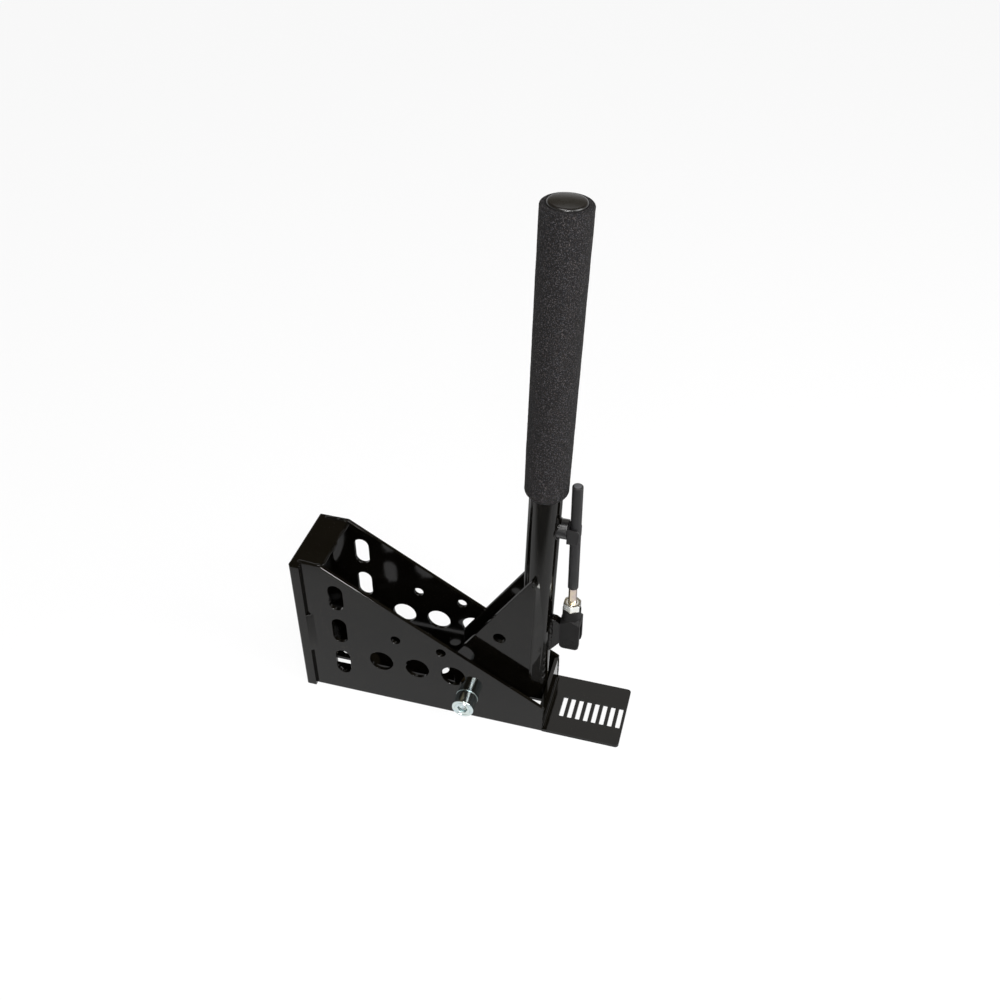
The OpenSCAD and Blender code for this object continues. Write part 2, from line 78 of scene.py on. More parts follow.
class Body(Enum):
    """The bodies that pieces ride on."""

    BASE = "base"
    LEVER = "lever"
    STRUT = "strut"


class Side(Enum):
    """The two sides of the base, with their sign along Y."""

    NEAR = -1
    FAR = 1

    @property
    def label(self) -> str:
        """The side's word in a piece's name."""
        return self.name.lower()


class Section(Enum):
    """The outline of a turned or milled ring."""

    ROUND = "round"
    HEXAGON = "hexagon"


class Edge(Enum):
    """How a sharp edge is broken, with the number of steps across it."""

    FLAT = 1
    ROUND = 2


def fill_ramp(node: bpy.types.Node, stops: Sequence[tuple]) -> None:
    """Sets the stops of a colour ramp.

    Args:
        node: The ramp's node.
        stops: Pairs of place and colour.
    """
    marks = node.color_ramp.elements
    while len(marks) < len(stops):
        marks.new(0.5)
    for mark, (at, colour) in zip(marks, stops):
        mark.position = at
        mark.color = (*colour, 1.0)


class Graph:
    """A material's node tree, filled one node at a time."""

    NOISE_RANGE = (0.3, 0.7)

    def __init__(self, name: str) -> None:
        """Starts an empty material.

        Args:
            name: The material's name.
        """
        self.material = bpy.data.materials.new(name)
        self.material.use_nodes = True
        self.tree = self.material.node_tree
        self.tree.nodes.clear()
        self.output = self.add("ShaderNodeOutputMaterial")
        self.shader = self.add("ShaderNodeBsdfPrincipled")
        self.join(self.shader, "BSDF", self.output, "Surface")
        self.place = self.add("ShaderNodeTexCoord")

    def add(self, kind: str, **values: object) -> bpy.types.Node:
        """Adds a node.

        Args:
            kind: The node's type.
            values: Socket values, with _ for a blank in a socket's name, or the node's own settings.

        Returns:
            The new node.
        """
        node = self.tree.nodes.new(kind)
        for key, value in values.items():
            socket = node.inputs.get(key.replace("_", " "))
            if socket is not None:
                socket.default_value = value
            else:
                setattr(node, key, value)
        return node

    def join(self, giver: bpy.types.Node, out: str, taker: bpy.types.Node, into: str) -> None:
        """Links one node's output to another node's input."""
        self.tree.links.new(giver.outputs[out], taker.inputs[into])

    def set(self, **values: object) -> None:
        """Sets constants on the shader's own sockets."""
        for key, value in values.items():
            self.shader.inputs[key.replace("_", " ")].default_value = value

    def grain(self, scale: float, detail: float = 2.0, rough: float = 0.5) -> bpy.types.Node:
        """Adds a noise that reads the piece's own coordinates.

        Args:
            scale: Waves in a metre.
            detail: Number of finer layers.
            rough: Strength of the finer layers.

        Returns:
            The noise node.
        """
        node = self.add("ShaderNodeTexNoise", Scale=scale, Detail=detail, Roughness=rough)
        self.join(self.place, "Object", node, "Vector")
        return node

    def ramp(self, giver: bpy.types.Node, stops: Sequence[tuple]) -> bpy.types.Node:
        """Turns a noise into a colour.

        Args:
            giver: The noise node.
            stops: Pairs of place and colour.

        Returns:
            The ramp node.
        """
        node = self.add("ShaderNodeValToRGB")
        self.join(giver, "Fac", node, "Fac")
        fill_ramp(node, stops)
        return node

    def blend(self, kind: str, first: bpy.types.Node, second: bpy.types.Node) -> None:
        """Mixes two colours into the shader's base colour.

        Args:
            kind: How they mix.
            first: The node of the first colour.
            second: The node of the second colour.
        """
        mix = self.add("ShaderNodeMixRGB", blend_type=kind, Fac=1.0)
        self.join(first, "Color", mix, "Color1")
        self.join(second, "Color", mix, "Color2")
        self.join(mix, "Color", self.shader, "Base Color")

    def roughen(self, giver: bpy.types.Node, low: float, high: float) -> None:
        """Drives the shader's roughness with a noise.

        Args:
            giver: The noise node.
            low: Roughness at the low end of the noise's usual range.
            high: Roughness at its high end.
        """
        node = self.add("ShaderNodeMapRange")
        limits = zip(("From Min", "From Max", "To Min", "To Max"), (*self.NOISE_RANGE, low, high))
        for socket, value in limits:
            node.inputs[socket].default_value = value
        self.join(giver, "Fac", node, "Value")
        self.join(node, "Result", self.shader, "Roughness")

    def bump(self, layers: Iterable[tuple]) -> None:
        """Stacks bumps on the shader's normal.

        Args:
            layers: Tuples of node, output, strength and depth in metres.
        """
        last = None
        for giver, out, strength, depth in layers:
            node = self.add("ShaderNodeBump", Strength=strength, Distance=depth)
            self.join(giver, out, node, "Height")
            if last is not None:
                self.join(last, "Normal", node, "Normal")
            last = node
        self.join(last, "Normal", self.shader, "Normal")


@dataclass(frozen=True)
class Coat:
    """A black coating or plastic skin, with a slight orange peel and some dust."""

    name: str
    slot: str
    dark: tuple = (0.0012, 0.001, 0.0007)
    light: tuple = (0.0022, 0.0019, 0.0014)
    dust: tuple = (0.02, 0.02, 0.02)
    rough: tuple = (0.05, 0.1)
    specular: float = 0.26
    peel: float = 0.04
    peel_scale: float = 330.0
    peel_depth: float = 0.0003
    cloud_scale: float = 22.0
    dust_scale: float = 1500.0
    wipe: float = 0.03
    wipe_scale: float = 70.0
    wipe_depth: float = 0.0006

    def make(self) -> bpy.types.Material:
        """Builds the coating's material.

        Returns:
            The material.
        """
        g = Graph(self.name)
        g.set(Specular_IOR_Level=self.specular, IOR=1.5)
        cloud = g.grain(self.cloud_scale, 4.0, 0.6)
        tone = g.ramp(cloud, [(0.35, self.dark), (0.65, self.light)])
        specks = g.grain(self.dust_scale, 1.0)
        dusty = g.ramp(specks, [(0.74, (0, 0, 0)), (0.8, self.dust)])
        g.blend("ADD", tone, dusty)
        wipe = g.grain(self.wipe_scale, 3.0, 0.6)
        g.roughen(wipe, *self.rough)
        peel = g.grain(self.peel_scale, 2.0)
        g.bump([(wipe, "Fac", self.wipe, self.wipe_depth), (peel, "Fac", self.peel, self.peel_depth)])
        return g.material


@dataclass(frozen=True)
class Foam:
    """Closed-cell foam: matte, with fine pale cells."""

    name: str = "grip_foam"
    slot: str = "grip_foam"
    dark: tuple = (0.0042, 0.0041, 0.004)
    middle: tuple = (0.0094, 0.0092, 0.0091)
    pale: tuple = (0.075, 0.073, 0.072)
    warm: tuple = (1.0, 0.87, 0.82)
    cool: tuple = (0.82, 0.86, 1.0)
    cells: float = 1350.0
    patches: float = 700.0
    bump: float = 0.5
    depth: float = 0.0004

    def make(self) -> bpy.types.Material:
        """Builds the foam's material.

        Returns:
            The material.
        """
        g = Graph(self.name)
        g.set(Roughness=0.92, Specular_IOR_Level=0.22, IOR=1.45)
        cell = g.add("ShaderNodeTexVoronoi", Scale=self.cells)
        g.join(g.place, "Object", cell, "Vector")
        fleck = g.grain(self.cells, 2.0, 0.6)
        tone = g.ramp(fleck, [(0.34, self.dark), (0.54, self.middle), (0.74, self.pale)])
        patch = g.grain(self.patches, 2.0)
        shade = g.ramp(patch, [(0.3, self.warm), (0.7, self.cool)])
        g.blend("MULTIPLY", tone, shade)
        g.bump([(cell, "Distance", self.bump, self.depth), (fleck, "Fac", self.bump, self.depth)])
        return g.material


@dataclass(frozen=True)
class Metal:
    """Bare or plated metal with cloudy tints and fine scratches."""

    name: str
    slot: str
    colour: tuple
    tint: tuple
    rough: tuple = (0.16, 0.3)
    cloud_scale: float = 130.0
    wipe: float = 0.06
    wipe_scale: float = 600.0
    wipe_depth: float = 0.0002

    def make(self) -> bpy.types.Material:
        """Builds the metal's material.

        Returns:
            The material.
        """
        g = Graph(self.name)
        g.set(Metallic=1.0)
        cloud = g.grain(self.cloud_scale, 3.0, 0.6)
        tone = g.ramp(cloud, [(0.42, self.colour), (0.68, self.tint)])
        g.join(tone, "Color", g.shader, "Base Color")
        wipe = g.grain(self.wipe_scale, 3.0, 0.7)
        g.roughen(wipe, *self.rough)
        g.bump([(wipe, "Fac", self.wipe, self.wipe_depth)])
        return g.material


Finish = Coat | Foam | Metal

GLOSS = Coat("gloss_coat", "gloss_coat", dust=(0.02, 0.019, 0.017))
SATIN = Coat("satin_black", "satin_black", (0.0031, 0.003, 0.0029), (0.006, 0.0058, 0.0057),
             rough=(0.4, 0.54), specular=0.14, peel=0.12, peel_scale=500.0)
SLEEVE = Coat("sleeve_plastic", "sleeve_plastic", (0.0076, 0.0074, 0.0079), (0.0119, 0.0116, 0.0123),
              rough=(0.46, 0.6), specular=0.3, peel=0.08, peel_scale=700.0)
# Flat on the sleeve's top: its pale colour is a painted highlight of the lit top face
SLEEVE_TOP_LIT = Coat("sleeve_top_painted_light", "sleeve_plastic", (0.058, 0.058, 0.062), (0.072, 0.072, 0.076),
            rough=(0.5, 0.6), specular=0.3, peel=0.2, peel_scale=900.0)
CLIP = Coat("clip_black", "satin_black", (0.009, 0.0087, 0.009), (0.013, 0.0126, 0.013),
            rough=(0.4, 0.5), specular=0.26, peel=0.08, peel_scale=500.0)
# The tube's gloss coat on the clip's boss. Its base colour is lighter than the coat's own as painted light,
# while its roughness and specular shape the real highlight band
BOSS_PAINTED_LIGHT = Coat("boss_coat_painted_light", "gloss_coat", (0.008, 0.0078, 0.008), (0.011, 0.0107, 0.011),
            rough=(0.26, 0.32), specular=0.6, peel=0.05, peel_scale=400.0)
PLUG = Coat("plug_plastic", "plug_plastic", (0.004, 0.0035, 0.003), (0.0065, 0.006, 0.0055),
            dust=(0.012, 0.012, 0.012), rough=(0.21, 0.29), specular=0.42, peel=0.03, peel_scale=250.0)
FOAM = Foam()
ZINC = Metal("zinc_plate", "zinc_plate", (0.88, 0.9, 0.88), (0.8, 0.78, 0.7))
# Zinc of the bolt's head, darker than the shank's as painted shade that dims the floor mirrored in its face;
# the green-blue tint is the plating's own
FACED_SHADED = Metal("bolt_face_painted_shade", "zinc_plate", (0.63, 0.71, 0.69), (0.56, 0.66, 0.7), (0.14, 0.2), 160.0)
BLUED = Metal("bolt_zinc", "zinc_plate", (0.9, 0.96, 1.0), (0.62, 0.78, 0.92), (0.2, 0.34), 160.0)
POLISHED = Metal("rod_steel", "zinc_plate", (0.68, 0.58, 0.42), (0.52, 0.44, 0.42), (0.1, 0.2), 90.0)
BRONZE = Metal("bush_bronze", "bush_bronze", (0.5, 0.36, 0.18), (0.36, 0.25, 0.13), (0.3, 0.45))


class Workshop:
    """Makes objects from meshes, and gives them finish, body and name."""

    FLAT_ANGLE = 0.4
    SHARP_ANGLE = 40.0
    EDGE_SHADING = {Edge.ROUND: 50.0, Edge.FLAT: 28.0}

    def __init__(self) -> None:
        """Starts with no finish made."""
        self.made: dict = {}

    def material(self, finish: Finish) -> bpy.types.Material:
        """Makes a finish's material once.

        Args:
            finish: The finish.

        Returns:
            Its material.
        """
        if finish.name not in self.made:
            self.made[finish.name] = finish.make()
        return self.made[finish.name]

    def piece(self, name: str, bm: bmesh.types.BMesh, finish: Finish, body: Body,
              stands_for: Sequence[str] = (), sharp: float = 40.0) -> bpy.types.Object:
        """Turns a bmesh into a finished piece.

        Args:
            name: The piece's name.
            bm: Its shape, in metres in the frame; it is freed.
            finish: Its finish.
            body: The body that it rides on.
            stands_for: The nodes that it replaces.
            sharp: Angle, in degrees, past which an edge stays sharp.

        Returns:
            The new object.
        """
        mesh = bpy.data.meshes.new(name)
        bm.to_mesh(mesh)
        bm.free()
        mesh.polygons.foreach_set("use_smooth", [True] * len(mesh.polygons))
        mesh.set_sharp_from_angle(angle=math.radians(sharp))
        obj = bpy.data.objects.new(name, mesh)
        bpy.context.scene.collection.objects.link(obj)
        obj.data.materials.append(self.material(finish))
        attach(obj, body.value)
        if stands_for:
            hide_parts(*stands_for)
        log.info("%s rides on %s in %s", name, body.value, finish.name)
        return obj

    def softened(self, node: str, finish: Finish, body: Body, width: float,
                 edge: Edge = Edge.ROUND) -> bpy.types.Object:
        """Copies a node and breaks its sharp edges as a coating, a tumbler or a file does.

        Args:
            node: The node to copy and replace.
            finish: Its finish.
            body: The body that it rides on.
            width: Width of the broken edge in millimetres.
            edge: Whether the edge is rounded or cut flat.

        Returns:
            The new piece.
        """
        bm = bmesh.new()
        bm.from_mesh(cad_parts[node].data)
        bmesh.ops.remove_doubles(bm, verts=bm.verts, dist=MERGE)
        flat = math.radians(self.FLAT_ANGLE)
        bmesh.ops.dissolve_limit(bm, angle_limit=flat, verts=bm.verts, edges=bm.edges)
        limit = math.radians(self.SHARP_ANGLE)
        sharp = [e for e in bm.edges if e.is_manifold and e.calc_face_angle() > limit]
        bmesh.ops.bevel(bm, geom=sharp, offset=width * MM, offset_type="OFFSET", segments=edge.value,
                        profile=0.5, affect="EDGES", material=-1, clamp_overlap=True)
        obj = self.piece(f"{node}_finished", bm, finish, body, [node], self.EDGE_SHADING[edge])
        shading = obj.modifiers.new("flat_faces", "WEIGHTED_NORMAL")
        shading.keep_sharp = True
        return obj


SHOP = Workshop()


@dataclass
class Turning:
    """A shape built ring by ring along an axis, as on a lathe."""

    frame_at: Matrix
    sides: int = 72
    rings: list = field(default_factory=list)

    def ring(self, radius: float, height: float, section: Section = Section.ROUND,
             chamfer: float = 0.0, slope: float = 0.0) -> "Turning":
        """Adds a ring.

        Args:
            radius: Radius, or half the width across flats, in millimetres.
            height: Place along the axis in millimetres.
            section: Outline of the ring.
            chamfer: Radius past which a hexagon's corners fall away, or 0.
            slope: Fall of those corners for each millimetre of radius.

        Returns:
            The turning itself.
        """
        self.rings.append((radius, height, section, chamfer, slope))
        return self

    def outline(self, points: Iterable[tuple]) -> "Turning":
        """Adds a row of round rings.

        Args:
            points: Pairs of radius and height in millimetres.

        Returns:
            The turning itself.
        """
        for radius, height in points:
            self.ring(radius, height)
        return self

    def _put(self, verts: Sequence, ring: tuple) -> None:
        """Moves a loop of vertices to a ring's place.

        Args:
            verts: The loop.
            ring: What ring() noted.
        """
        radius, height, section, chamfer, slope = ring
        for i, vert in enumerate(verts):
            turn = 2 * math.pi * i / self.sides
            reach = radius
            if section is Section.HEXAGON:
                reach = radius / math.cos((turn + math.pi / 6) % (math.pi / 3) - math.pi / 6)
            rise = height - slope * max(0.0, reach - chamfer) if chamfer else height
            vert.co = self.frame_at @ (Vector((reach * math.cos(turn), reach * math.sin(turn), rise)) * MM)

    def _hoop(self, bm: bmesh.types.BMesh, loop: Sequence) -> list:
        """The edges round a loop of vertices."""
        return [bm.edges.get((loop[i - 1], loop[i])) for i in range(self.sides)]

    def build(self, closed: bool = False) -> bmesh.types.BMesh:
        """Extrudes the rings into a closed shell.

        Args:
            closed: Whether the last ring joins the first, as on a tube; otherwise both ends are filled.

        Returns:
            The finished bmesh.
        """
        bm = bmesh.new()
        loop = bmesh.ops.create_circle(bm, cap_ends=False, radius=1.0, segments=self.sides)["verts"]
        self._put(loop, self.rings[0])
        first, edges = list(loop), self._hoop(bm, loop)
        first_edges = edges
        for ring in self.rings[1:]:
            grown = bmesh.ops.extrude_edge_only(bm, edges=edges)["geom"]
            fresh = {v for v in grown if isinstance(v, bmesh.types.BMVert)}
            after = []
            for vert in loop:
                after.append(next(e.other_vert(vert) for e in vert.link_edges if e.other_vert(vert) in fresh))
            loop, edges = after, self._hoop(bm, after)
            self._put(loop, ring)
        if closed:
            bmesh.ops.bridge_loops(bm, edges=first_edges + edges)
        else:
            for rim in (first, loop):
                bmesh.ops.contextual_create(bm, geom=rim)
        bmesh.ops.remove_doubles(bm, verts=bm.verts, dist=MERGE_TURNED)
        bmesh.ops.recalc_face_normals(bm, faces=bm.faces)
        return bm


@dataclass
class Thread:
    """A screw thread as one helical skin."""

    # Depth on the diameter, and where the root ends and the crest lies, in pitches
    DEPTH = 1.08
    ROOT = 0.15
    CREST = (0.5, 0.65)

    frame_at: Matrix
    major: float
    pitch: float
    start: float
    stop: float
    steps: int = 30

    def build(self) -> bmesh.types.BMesh:
        """Spins one pitch of the thread's profile up the axis.

        Returns:
            The thread, closed at both ends by a small flat.
        """
        minor = self.major - self.DEPTH * self.pitch
        turns = math.ceil((self.stop - self.start) / self.pitch)
        bm = bmesh.new()
        points = [(minor, 0.0), (minor, self.ROOT), *((self.major, at) for at in self.CREST), (minor, 1.0)]
        verts = [bm.verts.new((d / 2 * MM, 0.0, (self.start + at * self.pitch) * MM)) for d, at in points]
        chain = [bm.edges.new(pair) for pair in zip(verts, verts[1:])]
        bmesh.ops.spin(bm, geom=verts + chain, cent=(0, 0, 0), axis=(0, 0, 1), angle=2 * math.pi * turns,
                       dvec=(0, 0, self.pitch * MM / self.steps), steps=turns * self.steps, use_merge=False)
        bmesh.ops.remove_doubles(bm, verts=bm.verts, dist=MERGE)
        for height, normal in ((self.start, -1), (self.stop, 1)):
            whole = list(bm.verts) + list(bm.edges) + list(bm.faces)
            bmesh.ops.bisect_plane(bm, geom=whole, dist=MERGE_TURNED, plane_co=(0, 0, height * MM),
                                   plane_no=(0, 0, normal), clear_outer=True)
        rims = [e for e in bm.edges if e.is_boundary]
        bmesh.ops.holes_fill(bm, edges=rims, sides=0)
        bmesh.ops.recalc_face_normals(bm, faces=bm.faces)
        bmesh.ops.transform(bm, matrix=self.frame_at, verts=bm.verts)
        return bm


@dataclass
class Bead:
    """A weld bead: a row of overlapping ripples along a line."""

    # Mean height of a ripple, share and waves in a metre of the slow swelling, and run of a round end
    RIPPLE_MEAN = 0.7
    LUMP = 0.4
    LUMP_WAVE = 190.0
    END_RUN = 1.4
    END_LEAST = 0.02
    RINGS_A_RIPPLE = 6
    LEAST_RINGS = 12
    # Share of the path on each side of a place that gives its direction
    AHEAD = 1e-3
    # Steps in the noise between the three ways that the bead drifts
    WAYS = ((0, 0, 0), (7, 0, 0), (0, 9, 0))

    path: Callable[[float], Vector]
    length: float
    radius: float
    flat: float = 1.0
    ripple: float = 0.12
    pitch: float = 2.4
    wander: float = 0.25
    sides: int = 12
    closed: bool = False
    wave: float = 260.0

    def swell(self, share: float, at: Vector) -> float:
        """How thick the bead is at a place.

        Args:
            share: The place along the path, from 0 to 1.
            at: The same place in metres.

        Returns:
            A factor on the bead's radius.
        """
        wave = (share * self.length / self.pitch) % 1.0
        factor = 1.0 + self.ripple * (math.sqrt(max(0.0, 1.0 - wave * wave)) - self.RIPPLE_MEAN)
        factor += self.wander * self.LUMP * noise.noise(at * self.LUMP_WAVE)
        if not self.closed:
            end = min(share, 1.0 - share) * self.length / (self.END_RUN * self.radius)
            factor *= math.sqrt(max(self.END_LEAST, 1.0 - max(0.0, 1.0 - end) ** 2))
        return factor

    def drift(self, at: Vector) -> Vector:
        """How far the bead wanders off its path at a place, both in metres."""
        ways = [noise.noise(at * self.wave + Vector(way)) for way in self.WAYS]
        return Vector(ways) * self.wander * self.radius * MM

    def build(self) -> bmesh.types.BMesh:
        """Sweeps a ring along the path, swelling with each ripple.

        Returns:
            The bead, in metres.
        """
        count = max(self.LEAST_RINGS, round(self.length / self.pitch * self.RINGS_A_RIPPLE))
        bm = bmesh.new()
        loop: list = []
        edges: list = []
        first: list = []
        for i in range(count if self.closed else count + 1):
            share = i / count
            at = self.path(share)
            ahead = self.path(min(1.0, share + self.AHEAD)) - self.path(max(0.0, share - self.AHEAD))
            turn = ahead.normalized().to_track_quat("Z", "Y").to_matrix().to_4x4()
            reach = self.radius * self.swell(share, at) * MM
            size = Matrix.Diagonal((reach, reach * self.flat, 1.0, 1.0))
            place = Matrix.Translation(at + self.drift(at)) @ turn @ size
            ring = bmesh.ops.create_circle(bm, cap_ends=False, radius=1.0, segments=self.sides,
                                           matrix=place)["verts"]
            fresh = [bm.edges.get((ring[k - 1], ring[k])) for k in range(self.sides)]
            if loop:
                bmesh.ops.bridge_loops(bm, edges=edges + fresh)
            else:
                first = [ring, fresh]
            loop, edges = ring, fresh
        if self.closed:
            bmesh.ops.bridge_loops(bm, edges=edges + first[1])
        else:
            bmesh.ops.contextual_create(bm, geom=first[0])
            bmesh.ops.contextual_create(bm, geom=loop)
        bmesh.ops.recalc_face_normals(bm, faces=bm.faces)
        return bm


def eased(points: Sequence[tuple], radii: Sequence[float], steps: int = 6) -> list:
    """Rounds the corners of an outline.

    Args:
        points: Corners in order, in millimetres.
        radii: Radius at each corner, or 0 for a sharp one.
        steps: Number of pieces of each arc.

    Returns:
        The outline's points.
    """
    done = []
    for i, (corner, radius) in enumerate(zip(points, radii)):
        at = Vector(corner)
        if not radius:
            done.append(tuple(at))
            continue
        u = (Vector(points[i - 1]) - at).normalized()
        w = (Vector(points[(i + 1) % len(points)]) - at).normalized()
        half = u.angle(w) / 2
        middle = at + (u + w).normalized() * radius / math.sin(half)
        first, last = (at + way * radius / math.tan(half) - middle for way in (u, w))
        for k in range(steps + 1):
            done.append(tuple(middle + first.lerp(last, k / steps).normalized() * radius))
    return done


def straight(start: Vector, stop: Vector) -> Callable[[float], Vector]:
    """A straight path, as a function from 0..1 to a point."""
    return lambda share: start.lerp(stop, share)


def along(origin: Sequence[float], lean: float) -> Matrix:
    """The frame of an axis in the XZ plane.

    Args:
        origin: Its origin in millimetres.
        lean: Its lean towards +X in degrees.

    Returns:
        A matrix whose Z runs along the axis.
    """
    return Matrix.Translation(Vector(origin) * MM) @ Matrix.Rotation(math.radians(lean), 4, "Y")


@dataclass
class Base:
    """The welded sheet-steel base."""

    plate_edge: float = 0.45
    fold_edge: float = 0.4
    cap_top: float = 143.0
    cap_start: float = -134.0
    cap_end: float = -113.0
    cap_weld_out: float = 0.6
    cap_weld_sink: float = 0.5
    lip_out: float = 0.2
    lip_drop: float = 1.6
    lip_gap: float = 1.0
    inside: float = 28.5
    plate_face: float = 31.5
    flange_edge: float = -131.0
    flange_step: float = 3.0
    fillet_low: float = 44.0
    fillet_high: float = 86.0
    fillet_run: float = 7.0
    fillet_sink: float = 0.3
    fillet_lap: float = 0.6
    fillet_lip: float = 0.7
    fillet_below: float = 0.05
    fillet_edge: float = 0.9
    # Points of the fillet's hollow face: distance back from its thin edge, and rise
    fillet_hollow: tuple = ((3.2, 0.75), (5.3, 1.9))
    wall_face: float = 74.0
    wall_top: float = 29.0
    wall_weld_foot: float = 6.0
    wall_weld_short: float = 1.0
    wall_weld_out: float = 0.1
    wall_weld_sink: float = 0.5

    def build(self) -> None:
        """Makes the plates, the folded ends and their welds."""
        for node in ("side_plate_near", "side_plate_far"):
            SHOP.softened(node, GLOSS, Body.BASE, self.plate_edge, Edge.FLAT)
        for node in ("end_channel", "foot_bracket"):
            SHOP.softened(node, GLOSS, Body.BASE, self.fold_edge)
        for side in Side:
            self.cap_weld(side)
            self.flange_fillet(side)
            self.wall_weld(side)
        self.cap_lip()

    def cap_weld(self, side: Side) -> None:
        """Lays the bead between the closed top and a side plate.

        Args:
            side: The plate's side.
        """
        y, z = side.value * (self.inside + self.cap_weld_out), self.cap_top - self.cap_weld_sink
        start = Vector((self.cap_start, y, z)) * MM
        stop = Vector((self.cap_end - self.cap_weld_sink, y, z)) * MM
        bead = Bead(straight(start, stop), self.cap_end - self.cap_start, radius=1.8, flat=0.8, ripple=0.05,
                    pitch=5.0, wander=0.6, wave=110.0)
        SHOP.piece(f"cap_weld_{side.label}", bead.build(), GLOSS, Body.BASE)

    def cap_lip(self) -> None:
        """Lays the bead along the closed top's inner edge."""
        reach = self.inside - self.lip_gap
        start, stop = (Vector((self.cap_end + self.lip_out, y, self.cap_top - self.lip_drop)) * MM
                       for y in (-reach, reach))
        bead = Bead(straight(start, stop), 2 * reach, radius=1.6, flat=0.9, ripple=0.05, pitch=8.0,
                    wander=1.0, wave=70.0)
        SHOP.piece("cap_lip_weld", bead.build(), GLOSS, Body.BASE)

    def flange_fillet(self, side: Side) -> None:
        """Fills the step from the end channel's flange to a side plate along its middle.

        Args:
            side: The plate's side.
        """
        bm = bmesh.new()
        y0 = self.plate_face - self.fillet_sink
        y1 = self.plate_face + self.flange_step - self.fillet_below
        x0, x1 = self.flange_edge - self.fillet_lap, self.flange_edge + self.fillet_run
        hollow = [(x1 - back, y0 + rise) for back, rise in self.fillet_hollow]
        corners = [(x0, y0), (x1, y0), *hollow, (x0 + self.fillet_lip, y1), (x0, y1)]
        verts = [bm.verts.new((x * MM, side.value * y * MM, self.fillet_low * MM)) for x, y in corners]
        face = bm.faces.new(verts)
        grown = bmesh.ops.extrude_face_region(bm, geom=[face])["geom"]
        top = [v for v in grown if isinstance(v, bmesh.types.BMVert)]
        bmesh.ops.translate(bm, verts=top, vec=(0, 0, (self.fillet_high - self.fillet_low) * MM))
        ends = [e for e in bm.edges if abs(e.verts[0].co.z - e.verts[1].co.z) < MERGE]
        bmesh.ops.bevel(bm, geom=ends, offset=self.fillet_edge * MM, offset_type="OFFSET", segments=3,
                        profile=0.5, affect="EDGES", material=-1, clamp_overlap=True)
        bmesh.ops.recalc_face_normals(bm, faces=bm.faces)
        SHOP.piece(f"flange_fillet_{side.label}", bm, GLOSS, Body.BASE, sharp=60.0)

    def wall_weld(self, side: Side) -> None:
        """Lays the bead where a side plate ends on the low end wall.

        Args:
            side: The plate's side.
        """
        x, y = self.wall_face - self.wall_weld_sink, side.value * (self.inside + self.wall_weld_out)
        low, high = self.wall_weld_foot, self.wall_top - self.wall_weld_short
        start, stop = (Vector((x, y, z)) * MM for z in (low, high))
        bead = Bead(straight(start, stop), high - low, radius=1.1, ripple=0.2, wander=0.3)
        SHOP.piece(f"wall_weld_{side.label}", bead.build(), GLOSS, Body.BASE)


